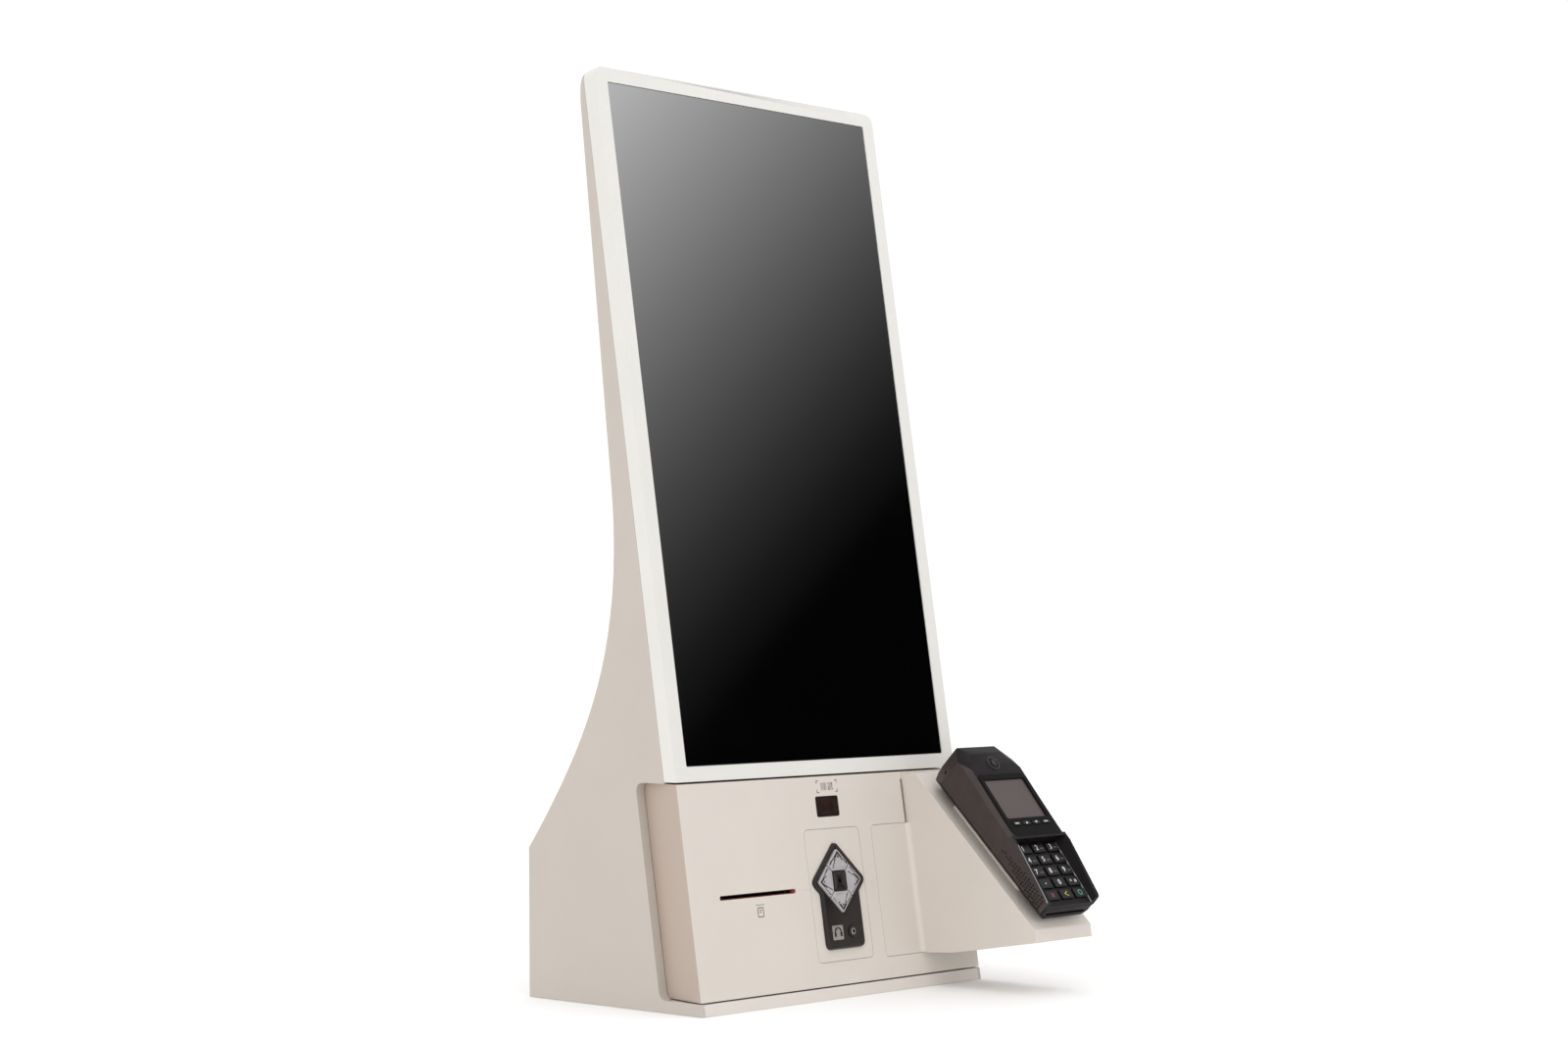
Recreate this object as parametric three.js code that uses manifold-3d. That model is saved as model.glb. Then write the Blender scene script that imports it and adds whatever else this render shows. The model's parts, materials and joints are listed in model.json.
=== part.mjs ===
// Counter-top touchscreen kiosk: a portrait screen on a slim leaning body, with a hinged service
// door below it that carries a code scanner, a navigation keypad and a payment terminal on an arm.
// Millimetres, +Z up, front towards -Y, origin at the centre of the footprint on the counter.
import * as THREE from 'three';
import { mergeVertices } from 'three/addons/utils/BufferGeometryUtils.js';
import Module from 'manifold-3d';

const wasm = await Module();
wasm.setup();

// ---------------------------------------------------------------- driving dimensions
const WIDTH = 371.5;
const HALF = WIDTH / 2;
const BASE_DEPTH = 211.8;
const FRONT = -BASE_DEPTH / 2; // y of the front face where it meets the counter
const LEAN = THREE.MathUtils.degToRad(9.26); // the front face leans back by this angle
const TOP = 827.3; // height of the front face, measured along its slope
const WALL = 3; // shell thickness
const GAP = 0.3; // clearance between fitted pieces
const RUNNING = 0.1; // radial clearance of a shaft in its hole
const TOP_CORNER_R = 11;

const TOP_DEPTH = 19.7; // body depth at its top, square to the front face
const TOP_ROUND = { down: 30, forward: 11.6 }; // reach of the rounded rear top edge
// The rear rises to a knee, then sweeps forwards to the slim upper body: [behind the front edge, height].
const KNEE = [213.5, 131];
const SWEEP = { lowPull: [139.8, 227.3], highPull: [93.6, 305.3], end: [110.6, 450] };
const PANEL_TOP = 118; // the two flat lower rear panels end here, below the rear cover

const SKIRT = 14; // depth of the bezel's sides
const BEZEL_FRONT = 3;
const BEZEL_LOW_S = 197.5;
const BEZEL_LOW_Z = 194.9;
const SCREEN = { half: 171, low: 210.4, high: 814.4, radius: 1.6 };

const DOOR = { half: 185.5, low: 11.6, high: 193, plate: 3, depth: 48.2, rearHalf: 176 };
const LIP_Z = 10.2; // top of the base lip below the door
const RECESS = { depth: 49, low: 10.5, high: 193.5, radius: 8, flange: 2.5, inner: 176 };
const HINGE = { x: 179.5, y: FRONT + 39.3, r: 2 };

const RECEIPT_SLOT = { x0: -148.4, x1: -52.2, s0: 95.3, s1: 99.1 };
const SCANNER = { x: 2.2, s: 168.85, width: 29.9, height: 17.9 };

const PAD = { x: 3.1, width: 73, low: 32.5, high: 149, radius: 5 };
const NAV = { x: 3.1, s: 102.3, tip: 35.3, keys: 29, centre: 17, rise: 3, keyRise: 3.6 };
const NAV_HANDLE = { half: 25, low: 43 };
const JACK = { x: 12.8, s: 57, r: 5.2, hole: 1.75 };

const ARM = { x0: 108, x1: 190.4, plateX0: 57, plateX1: 149.7, plateLow: 31, plateHigh: 149 };
const ARM_TOP = { s: 193.6, slopeS: 192.6, slopeN: 16.5 };
const ARM_NOSE = { n: 130.4, high: 38.7, low: 27.2 };
const ARM_WALL = 3;
const ARM_SLOPE = Math.atan2(ARM_NOSE.n - ARM_TOP.slopeN, ARM_TOP.slopeS - ARM_NOSE.high);

const TERMINAL = { x: 149, half: 39, split: 17.6 };
const TERMINAL_KEYS = {
  columns: 3, rows: 5, pitchX: 20, pitchY: 12.5, width: 17, height: 9.6, firstY: -6.2,
};
const TERMINAL_PAD = { t: 118, m: 29.8, fall: THREE.MathUtils.degToRad(7.2), half: 30 };
const FUNCTION_KEYS = { count: 4, pitch: 14, width: 11, height: 4.4, t: 103 };

const PRINTER = { x0: -152, x1: -48, y0: -84, y1: 0, z0: 36, z1: 104, side: 11 };
const PAPER = { y: -37, z: 72, r: 28, core: 6, x0: -139.5, x1: -60.5 };
const PLATEN = { y: -73.4, z: 98.6, r: 5, axle: 2 };

// ---------------------------------------------------------------- shape helpers
function bare(geometry) {
  const copy = geometry.clone();
  copy.deleteAttribute('normal');
  copy.deleteAttribute('uv');
  return mergeVertices(copy, 1e-4);
}

function solid(geometry) {
  const merged = bare(geometry);
  return new wasm.Manifold(new wasm.Mesh({
    numProp: 3,
    vertProperties: merged.attributes.position.array,
    triVerts: new Uint32Array(merged.index.array),
  }));
}

function geometry(body) {
  const mesh = body.getMesh();
  const result = new THREE.BufferGeometry();
  result.setAttribute('position', new THREE.BufferAttribute(mesh.vertProperties, 3));
  result.setIndex(new THREE.BufferAttribute(mesh.triVerts, 1));
  return result;
}

const cut = (first, ...tools) =>
  geometry(tools.reduce((body, tool) => body.subtract(solid(tool)), solid(first)));
const join = (first, ...others) =>
  geometry(others.reduce((body, other) => body.add(solid(other)), solid(first)));
const common = (first, second) => geometry(solid(first).intersect(solid(second)));

function box(x0, x1, y0, y1, z0, z1) {
  const block = new THREE.BoxGeometry(x1 - x0, y1 - y0, z1 - z0);
  return block.translate((x0 + x1) / 2, (y0 + y1) / 2, (z0 + z1) / 2);
}

// A prism along Z over an outline in (x, y).
function prismZ(points, z0, z1) {
  const shape = new THREE.Shape(points.map(([x, y]) => new THREE.Vector2(x, y)));
  const body = new THREE.ExtrudeGeometry(shape, { depth: z1 - z0, bevelEnabled: false });
  return body.translate(0, 0, z0);
}

// A prism along X over an outline in (y, z).
function prismX(points, x0, x1) {
  const turn = new THREE.Matrix4().makeBasis(
    new THREE.Vector3(0, 1, 0), new THREE.Vector3(0, 0, 1), new THREE.Vector3(1, 0, 0));
  return prismZ(points, x0, x1).applyMatrix4(turn);
}

function rod(radius, length, segments = 32) {
  return new THREE.CylinderGeometry(radius, radius, length, segments);
}

const rodX = (radius, x0, x1, y, z, segments = 32) =>
  rod(radius, x1 - x0, segments).rotateZ(Math.PI / 2).translate((x0 + x1) / 2, y, z);

const rodZ = (radius, x, y, z0, z1, segments = 32) =>
  rod(radius, z1 - z0, segments).rotateX(Math.PI / 2).translate(x, y, (z0 + z1) / 2);

// Rounds the corners of a polygon; radii holds one radius per corner, or one for all.
function rounded(points, radii, steps = 5) {
  const result = [];
  points.forEach(([x, y], i) => {
    const radius = Array.isArray(radii) ? radii[i] : radii;
    const here = new THREE.Vector2(x, y);
    if (!radius) {
      result.push([x, y]);
      return;
    }
    const before = new THREE.Vector2(...points.at(i - 1)).sub(here).normalize();
    const after = new THREE.Vector2(...points[(i + 1) % points.length]).sub(here).normalize();
    const half = Math.acos(THREE.MathUtils.clamp(before.dot(after), -1, 1)) / 2;
    const reach = radius / Math.tan(half);
    const curve = new THREE.QuadraticBezierCurve(
      here.clone().addScaledVector(before, reach), here, here.clone().addScaledVector(after, reach));
    curve.getPoints(steps).forEach((point) => result.push([point.x, point.y]));
  });
  return result;
}

const rectangle = (x0, x1, y0, y1) => [[x0, y0], [x1, y0], [x1, y1], [x0, y1]];

// Moves every edge of a counter-clockwise outline inwards by a distance.
function inset(points, distance) {
  const count = points.length;
  const normal = (a, b) => new THREE.Vector2(a[1] - b[1], b[0] - a[0]).normalize();
  return points.map((here, i) => {
    const first = normal(points[(i + count - 1) % count], here);
    const second = normal(here, points[(i + 1) % count]);
    const scale = distance / (1 + first.dot(second));
    return [here[0] + (first.x + second.x) * scale, here[1] + (first.y + second.y) * scale];
  });
}

// ---------------------------------------------------------------- frames
// In the front-face frame x runs across, y up the slope and z out of the face.
const frontFace = new THREE.Group();
frontFace.position.set(0, FRONT, 0);
frontFace.rotation.x = Math.PI / 2 - LEAN;
frontFace.updateMatrix();

const frontY = (z) => FRONT + z * Math.tan(LEAN);
const fromFront = (shape) => shape.applyMatrix4(frontFace.matrix);
const toFront = (shape) => shape.applyMatrix4(frontFace.matrix.clone().invert());

// In the terminal frame y runs up the arm's slope and z out of it.
const armSlope = new THREE.Group();
armSlope.position.set(TERMINAL.x, ARM_TOP.slopeS, ARM_TOP.slopeN);
armSlope.rotation.x = -ARM_SLOPE;

const kiosk = new THREE.Group();
kiosk.add(frontFace);
frontFace.add(armSlope);

function part(parent, name, shape, look) {
  const mesh = new THREE.Mesh(shape, new THREE.MeshStandardMaterial(look));
  mesh.name = name;
  parent.add(mesh);
  return mesh;
}

const LOOK = {
  paint: { color: 0xcdc5bb, roughness: 0.55 },
  doorPaint: { color: 0xd9cfc5, roughness: 0.55 },
  lipPaint: { color: 0xe4ddd5, roughness: 0.5 },
  bezel: { color: 0xe5e3de, roughness: 0.4 },
  glass: { color: 0x050506, roughness: 0.12 },
  steel: { color: 0x9a9c9e, roughness: 0.4, metalness: 0.9 },
  blackMetal: { color: 0x24252a, roughness: 0.5, metalness: 0.6 },
  rubber: { color: 0x1c1c1c, roughness: 0.9 },
  blackPlastic: { color: 0x26221f, roughness: 0.45 },
  greyPlastic: { color: 0x8d9093, roughness: 0.5 },
  navKey: { color: 0xb0acae, roughness: 0.5 },
  terminal: { color: 0x2c2726, roughness: 0.5 },
  paper: { color: 0xf4f2ea, roughness: 0.9 },
  smoked: { color: 0x2e2320, roughness: 0.15 },
};

// ---------------------------------------------------------------- body shell
// Side outline in (y, z): straight foot, swept rear, slim top with a rounded rear edge.
function sideOutline() {
  const topRearY = FRONT + TOP * Math.sin(LEAN) + TOP_DEPTH * Math.cos(LEAN);
  const topRearZ = TOP * Math.cos(LEAN) - TOP_DEPTH * Math.sin(LEAN);
  const outline = new THREE.Shape();
  outline.moveTo(FRONT, 0);
  outline.lineTo(FRONT + BASE_DEPTH, 0);
  outline.lineTo(FRONT + KNEE[0], KNEE[1]);
  const { lowPull, highPull, end } = SWEEP;
  outline.bezierCurveTo(
    FRONT + lowPull[0], lowPull[1], FRONT + highPull[0], highPull[1], FRONT + end[0], end[1]);
  outline.lineTo(topRearY - 3.3, topRearZ - TOP_ROUND.down);
  outline.quadraticCurveTo(topRearY - 0.5, topRearZ - 0.8, topRearY - TOP_ROUND.forward, topRearZ + 1.9);
  outline.lineTo(frontY(TOP * Math.cos(LEAN)), TOP * Math.cos(LEAN));
  return outline.getPoints(20).map((point) => [point.x, point.y]);
}

// Front outline in the front-face frame, with rounded top corners.
const frontOutline = (shrink) => rounded(
  rectangle(-HALF + shrink, HALF - shrink, -40, TOP - shrink),
  [0, 0, TOP_CORNER_R - shrink, TOP_CORNER_R - shrink]);

function bodyBlock(shrink) {
  const side = prismX(inset(sideOutline(), shrink), -HALF + shrink, HALF - shrink);
  return common(side, fromFront(prismZ(frontOutline(shrink), -260, 1)));
}

// The zone in front of a plane that lies a horizontal distance behind the front face.
const frontZone = (distance, low) => prismX(
  [[FRONT - 60, low], [frontY(low) + distance, low], [frontY(900) + distance, 900], [FRONT - 60, 900]],
  -HALF - 10, HALF + 10);

// Side outline of the finger recess beside the door, grown all round by a margin.
function recessOutline(margin) {
  const { depth, low, high, radius } = RECESS;
  const points = [[FRONT - 60, low - margin], [frontY(low) + depth + margin, low - margin],
    [frontY(high) + depth + margin, high + margin], [FRONT - 60, high + margin]];
  return rounded(points, [0, radius + margin, radius + margin, 0]);
}

const skirtBack = (SKIRT + GAP) / Math.cos(LEAN);
const underside = box(-HALF + WALL, HALF - WALL, FRONT - 5, FRONT + BASE_DEPTH - WALL, -1, 15);
const shellBlock = cut(bodyBlock(0), bodyBlock(WALL), frontZone(skirtBack, RECESS.low),
  prismX(recessOutline(0), -HALF - 5, HALF + 5), underside);

const SHELL_RETURN = 171; // the side shells wrap round the rear as far in as this

function sideShell(side) {
  const outer = side * (HALF + 1);
  const [x0, x1] = [outer, side * SHELL_RETURN].sort((a, b) => a - b);
  const [f0, f1] = [side * HALF, side * RECESS.inner].sort((a, b) => a - b);
  const panel = common(shellBlock, box(x0, x1, -200, 200, -5, 900));
  const ring = cut(prismX(recessOutline(RECESS.flange), f0, f1), prismX(recessOutline(0), f0 - 1, f1 + 1),
    frontZone(skirtBack, -50), box(-300, 300, -200, 200, -50, LIP_Z + GAP));
  return join(panel, ring);
}

part(kiosk, 'side_shell_left', sideShell(-1), LOOK.paint);
part(kiosk, 'side_shell_right', sideShell(1), LOOK.paint);

const INLET = { x0: 60, x1: 112, z0: 28, z1: 54 };
const VENT = { count: 9, pitch: 9, width: 4.4, half: 60, z: 330 };
const OUTLET = { x0: -100, x1: -60, z0: 24, z1: 44 }; // where network and peripheral cables leave
const PANEL_SPLIT = -45; // the lower rear panel is in two, one with the outlet and one with the inlet
const rearBand = SHELL_RETURN - GAP;
const cablePanel = cut(
  common(shellBlock, box(-rearBand, PANEL_SPLIT - GAP / 2, -200, 200, -5, PANEL_TOP)),
  box(OUTLET.x0, OUTLET.x1, 90, 120, OUTLET.z0, OUTLET.z1));
part(kiosk, 'cable_panel', cablePanel, LOOK.paint);
const connectorPanel = cut(
  common(shellBlock, box(PANEL_SPLIT + GAP / 2, rearBand, -200, 200, -5, PANEL_TOP)),
  box(INLET.x0 - GAP, INLET.x1 + GAP, 90, 120, INLET.z0 - GAP, INLET.z1 + GAP));
part(kiosk, 'connector_panel', connectorPanel, LOOK.paint);
let rearCover = common(shellBlock, box(-rearBand, rearBand, -200, 200, PANEL_TOP + GAP, 900));
for (let i = 0; i < VENT.count; i += 1) {
  const z = VENT.z + i * VENT.pitch;
  for (const side of [-1, 1]) {
    const middle = side * 70;
    rearCover = cut(rearCover, box(middle - VENT.half, middle + VENT.half, -30, 60, z, z + VENT.width));
  }
}
part(kiosk, 'rear_cover', rearCover, LOOK.paint);

// ---------------------------------------------------------------- base
const floorHalf = HALF - WALL - GAP;
const PLATE_T = 4;
const STRIP = { half: 150, depth: 16, thick: 2.2 };
const lip = prismX(
  [[FRONT, 0], [FRONT + 4, 0], [frontY(LIP_Z) + 4, LIP_Z], [frontY(LIP_Z), LIP_Z]], -floorHalf, floorHalf);
const floor = box(-floorHalf, floorHalf, FRONT + 2, FRONT + BASE_DEPTH - WALL - GAP, 0, PLATE_T);
const LEDGE_INNER = 172.6; // a ledge closes the underside of each finger recess
function ledge(side) {
  const [x0, x1] = [side * LEDGE_INNER, side * floorHalf].sort((a, b) => a - b);
  return box(x0, x1, FRONT + 3.5, FRONT + 56, PLATE_T - 1, LIP_Z);
}
const stripPlaces = { foot_strip_front: FRONT + 24, foot_strip_rear: FRONT + BASE_DEPTH - 24 };
const pivotHole = rodZ(HINGE.r + GAP, HINGE.x, HINGE.y, 5, 20);
let basePlate = join(floor, lip, ledge(-1), ledge(1));
basePlate = cut(basePlate, pivotHole);
for (const y of Object.values(stripPlaces)) {
  basePlate = cut(basePlate, box(-STRIP.half - GAP, STRIP.half + GAP, y - STRIP.depth / 2 - GAP,
    y + STRIP.depth / 2 + GAP, -1, STRIP.thick + GAP));
}
part(kiosk, 'base_plate', basePlate, LOOK.lipPaint);
for (const [name, y] of Object.entries(stripPlaces)) {
  part(kiosk, name, box(-STRIP.half, STRIP.half, y - STRIP.depth / 2, y + STRIP.depth / 2, 0, STRIP.thick),
    LOOK.rubber);
}

// ---------------------------------------------------------------- screen
const upperPivotHole = rodZ(HINGE.r + GAP, HINGE.x, HINGE.y, 190, 202);
const bezelHollow = rounded(
  rectangle(-HALF + 2.5, HALF - 2.5, BEZEL_LOW_S + 5.5, TOP - 5), [2, 2, TOP_CORNER_R - 3, TOP_CORNER_R - 3]);
const screenHole = rounded(
  rectangle(-SCREEN.half, SCREEN.half, SCREEN.low, SCREEN.high), SCREEN.radius, 3);
const bezelBlock = common(prismZ(frontOutline(0), -SKIRT, 0), toFront(bodyBlock(0)));
const bezel = cut(bezelBlock, prismZ(bezelHollow, -SKIRT - 1, -BEZEL_FRONT), prismZ(screenHole, -SKIRT, 1),
  toFront(box(-300, 300, -300, 300, -100, BEZEL_LOW_Z)), toFront(upperPivotHole));
part(frontFace, 'screen_bezel', bezel, LOOK.bezel);

const GLASS_GAP = 0.4;
const glassHalf = SCREEN.half - GLASS_GAP;
const glassOutline = rounded(
  rectangle(-glassHalf, glassHalf, SCREEN.low + GLASS_GAP, SCREEN.high - GLASS_GAP),
  SCREEN.radius - GLASS_GAP, 3);
part(frontFace, 'touch_glass', prismZ(glassOutline, -3.7, -0.6), LOOK.glass);
part(frontFace, 'lcd_module', box(-175, 175, 206, 818, -13.3, -4), LOOK.steel);

// The steel frame behind the screen: a windowed back plate on two legs that stand on the base.
const plateBack = -15.9;
const plateFront = -13.7;
let chassis = box(-165, 165, 208, 800, plateBack, plateFront);
for (const low of [350, 505, 660]) {
  chassis = cut(chassis, box(-125, 125, low, low + 115, plateBack - 1, plateFront + 1));
}
chassis = fromFront(chassis);
const onFloor = PLATE_T + GAP;
const legZone = [
  [frontY(430) + 14.8, 430], [frontY(208) + 14.8, 208], [FRONT + 118, 203], [FRONT + 133, onFloor],
  [FRONT + 215, onFloor], [FRONT + 215, 140], [FRONT + 112, 430]];
for (const side of [-1, 1]) {
  const [x0, x1] = [side * 152, side * 155].sort((a, b) => a - b);
  const leg = common(prismX(inset(sideOutline(), WALL + 0.5), x0, x1), prismX(legZone, x0 - 1, x1 + 1));
  const [f0, f1] = [side * 138, side * 153].sort((a, b) => a - b);
  const foot = box(f0, f1, FRONT + 140, FRONT + 200, onFloor, onFloor + 2.5);
  chassis = join(chassis, leg, foot);
}
part(kiosk, 'display_chassis', chassis, LOOK.steel);

// ---------------------------------------------------------------- electronics
const computer = join(
  box(-15, 130, -20, 66, onFloor, 52), box(0, 20, 65, 71, 20, 36), box(28, 44, 65, 71, 20, 36));
part(kiosk, 'computer_module', computer, LOOK.blackMetal);
const supply = cut(box(-134, -32, 20, 92, onFloor, 34), box(-128, -38, 19, 30, 10, 28));
part(kiosk, 'power_supply', supply, LOOK.steel);
const SPEAKER = { y: -2, z: 120, r: 24, cone: 18, x0: 90, x1: 112 };
const speaker = cut(rodX(SPEAKER.r, SPEAKER.x0, SPEAKER.x1, SPEAKER.y, SPEAKER.z, 24),
  rodX(SPEAKER.cone, SPEAKER.x0 - 4, SPEAKER.x0 + 4, SPEAKER.y, SPEAKER.z, 24));
part(kiosk, 'audio_speaker', speaker, LOOK.blackPlastic);

const inletFace = 106.2;
let inlet = box(INLET.x0, INLET.x1, 78, inletFace, INLET.z0, INLET.z1);
inlet = cut(inlet, box(INLET.x0 + 4, INLET.x0 + 28, 90, inletFace + 1, INLET.z0 + 5, INLET.z1 - 5),
  box(INLET.x1 - 18.5, INLET.x1 - 3.5, 88, inletFace + 1, INLET.z0 + 3.5, INLET.z1 - 3.5));
for (const [x, z] of [[-7, -2], [7, -2], [0, 3]]) {
  const middle = INLET.x0 + 16 + x;
  const height = (INLET.z0 + INLET.z1) / 2 + z;
  inlet = join(inlet, box(middle - 1, middle + 1, 89, 101, height - 2, height + 2));
}
part(kiosk, 'power_inlet', inlet, LOOK.blackPlastic);

const ROCKER_TILT = THREE.MathUtils.degToRad(7);
const rockerSide = [[5.4, -6.6], [4, 0], [5.4, 6.6], [-6, 6], [-8.2, 0], [-6, -6]];
const rocker = part(kiosk, 'power_switch', prismX(rockerSide, -7, 7), LOOK.blackPlastic);
rocker.position.set(INLET.x1 - 11, 99, (INLET.z0 + INLET.z1) / 2);
rocker.rotation.x = ROCKER_TILT;

// ---------------------------------------------------------------- receipt printer
const innerX0 = PRINTER.x0 + PRINTER.side;
const innerX1 = PRINTER.x1 - PRINTER.side;
let printer = box(PRINTER.x0, PRINTER.x1, PRINTER.y0, PRINTER.y1, PRINTER.z0, PRINTER.z1);
const bucket = prismX(
  rounded(rectangle(-66, PRINTER.y1 - 6, PRINTER.z0 + 6, PRINTER.z1 + 1), [16, 16, 0, 0]), innerX0, innerX1);
printer = cut(printer, bucket,
  box(innerX0, innerX1, PRINTER.y0 + 4, -60, 92.5, PRINTER.z1 + 1),
  box(innerX0 + 1, innerX1 - 1, PRINTER.y0 - 1, PRINTER.y0 + 5, 93.4, 98.4),
  rodX(PLATEN.axle + RUNNING, innerX0 - 6, innerX1 + 6, PLATEN.y, PLATEN.z),
  box(PRINTER.x0 - 1, PRINTER.x1 + 1, PRINTER.y1 - 5, PRINTER.y1 + 1, PRINTER.z1 - 4, PRINTER.z1 + 1));
const post = box(PRINTER.x0 + 10, PRINTER.x1 - 10, PRINTER.y0 + 20, PRINTER.y1 - 8, 20, PRINTER.z0 + 1);
const foot = box(PRINTER.x0 + 10, PRINTER.x1 - 10, PRINTER.y0 + 20, PRINTER.y1 - 8, onFloor, 21);
const stand = cut(join(post, foot), box(-130, -70, -90, 20, 8, 32));
part(kiosk, 'printer_body', join(printer, stand), LOOK.blackPlastic);

const platen = join(rodX(PLATEN.r, innerX0 + 1.5, innerX1 - 1.5, PLATEN.y, PLATEN.z),
  rodX(PLATEN.axle, innerX0 - 5, innerX1 + 5, PLATEN.y, PLATEN.z));
part(kiosk, 'platen_roller', platen, LOOK.rubber);
part(kiosk, 'paper_roll', cut(rodX(PAPER.r, PAPER.x0, PAPER.x1, PAPER.y, PAPER.z, 48),
  rodX(PAPER.core, PAPER.x0 - 1, PAPER.x1 + 1, PAPER.y, PAPER.z)), LOOK.paper);

const LID = { axisY: PRINTER.y1 - 2.2, axisZ: PRINTER.z1 + 1.8, top: PRINTER.z1 + 3.3 };
const printerLid = join(
  box(PRINTER.x0 + 1, PRINTER.x1 - 1, PRINTER.y0 + 18.5, LID.axisY, PRINTER.z1 + GAP, LID.top),
  rodX(1.5, PRINTER.x0 + 1, PRINTER.x1 - 1, LID.axisY, LID.axisZ, 16),
  box(-112, -88, PRINTER.y0 + 12.5, PRINTER.y0 + 19, PRINTER.z1 + GAP + 1.2, LID.top));
part(kiosk, 'printer_lid', printerLid, LOOK.greyPlastic);

// ---------------------------------------------------------------- door hinge and catch
const hingePin = (z0, z1) => rodZ(HINGE.r, HINGE.x, HINGE.y, z0, z1);
part(kiosk, 'hinge_pin_lower', hingePin(5.3, 16.6), LOOK.steel);
part(kiosk, 'hinge_pin_upper', hingePin(186.6, 201.6), LOOK.steel);
const catchBlock = box(-175.4, -160, 88, 112, -RECESS.depth - 14, -RECESS.depth - 0.2);
part(frontFace, 'door_catch', catchBlock, LOOK.steel);

// ---------------------------------------------------------------- service door
function doorWall(side) {
  const { half, depth, rearHalf } = DOOR;
  const outline = [[half, 0], [half, -1], [rearHalf, -depth], [rearHalf - 2.8, -depth],
    [half - 4.4, -2], [half - 4.4, 0]];
  const points = outline.map(([x, n]) => [side * x, n]);
  const alongSlope = new THREE.Matrix4().makeBasis(
    new THREE.Vector3(1, 0, 0), new THREE.Vector3(0, 0, 1), new THREE.Vector3(0, -1, 0));
  return prismZ(side > 0 ? points.reverse() : points, -215, 0).applyMatrix4(alongSlope);
}

const horizontalReturn = (z0, z1) => toFront(prismX(
  [[frontY(z0) + 1, z0], [frontY(z0) + 15, z0], [frontY(z1) + 15, z1], [frontY(z1) + 1, z1]], -181, 181));

const padHole = rounded(rectangle(PAD.x - PAD.width / 2 - 0.35, PAD.x + PAD.width / 2 + 0.35,
  PAD.low - 0.35, PAD.high + 0.35), PAD.radius + 0.35);
// A rounded rectangle round the scanner window's centre.
const scannerOutline = (grow, radius) => rounded(rectangle(
  SCANNER.x - SCANNER.width / 2 - grow, SCANNER.x + SCANNER.width / 2 + grow,
  SCANNER.s - SCANNER.height / 2 - grow, SCANNER.s + SCANNER.height / 2 + grow), radius);
const scannerHole = scannerOutline(GAP, 2.3);
const slotHole = rounded(
  rectangle(RECEIPT_SLOT.x0, RECEIPT_SLOT.x1, RECEIPT_SLOT.s0, RECEIPT_SLOT.s1), 1.8, 4);
const armPlateHole = rounded(rectangle(ARM.plateX0 - 0.35, ARM.plateX1 + 0.35, ARM.plateLow - 0.35,
  ARM.plateHigh + 0.35), [4.8, 0, 0, 4.8]);
const through = (outline) => prismZ(outline, -DOOR.plate - 3, 1);

const lowerLug = box(168, 184, HINGE.y - 6, HINGE.y + 6, 12.4, 16.4);
const upperLug = box(160, 181.2, HINGE.y - 6.6, HINGE.y + 7, 187, 190.8);
const pinBores = join(
  rodZ(HINGE.r + RUNNING, HINGE.x, HINGE.y, 5, 17), rodZ(HINGE.r + RUNNING, HINGE.x, HINGE.y, 186.2, 200));
const doorPan = join(box(-DOOR.half, DOOR.half, 0, 215, -DOOR.plate, 0), doorWall(-1), doorWall(1),
  horizontalReturn(DOOR.low, DOOR.low + 2), horizontalReturn(DOOR.high - 2, DOOR.high),
  toFront(lowerLug), toFront(upperLug));
const doorZone = toFront(prismX(recessOutline(-0.4), -HALF - 5, HALF + 5));
const doorShell = cut(common(doorPan, doorZone), toFront(box(-300, 300, -300, 300, -100, DOOR.low)),
  toFront(pinBores),
  through(padHole), through(scannerHole), through(slotHole), through(armPlateHole),
  box(ARM.x0 - 2.4, ARM.x0, ARM.plateHigh - 1, 189, -DOOR.plate - 1, 1));
part(frontFace, 'door_shell', doorShell, LOOK.doorPaint);

part(frontFace, 'scanner_window', prismZ(scannerOutline(0, 2), -2.6, -0.5), LOOK.smoked);
const scanner = join(box(SCANNER.x - 19, SCANNER.x + 19, SCANNER.s - 13, SCANNER.s + 13, -40, -14),
  box(SCANNER.x - 17, SCANNER.x + 17, SCANNER.s - 11, SCANNER.s + 11, -15, -3.4));
const scannerMouth = box(SCANNER.x - 13, SCANNER.x + 13, SCANNER.s - 7.5, SCANNER.s + 7.5, -12, 0);
part(frontFace, 'scanner_module', cut(scanner, scannerMouth), LOOK.blackPlastic);

// ---------------------------------------------------------------- navigation keypad
function navOutline(grow) {
  const tip = NAV.tip + grow;
  const half = NAV_HANDLE.half + grow;
  const low = NAV_HANDLE.low - grow;
  const neck = NAV.s - (tip - half) * 1.02;
  const points = [
    [-half, low], [half, low], [half, neck], [tip, NAV.s], [0, NAV.s + tip], [-tip, NAV.s], [-half, neck]];
  const moved = points.map(([x, s]) => [NAV.x + x, s]);
  return rounded(moved, [6, 6, 3, 6, 5, 6, 3], 6);
}

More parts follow.
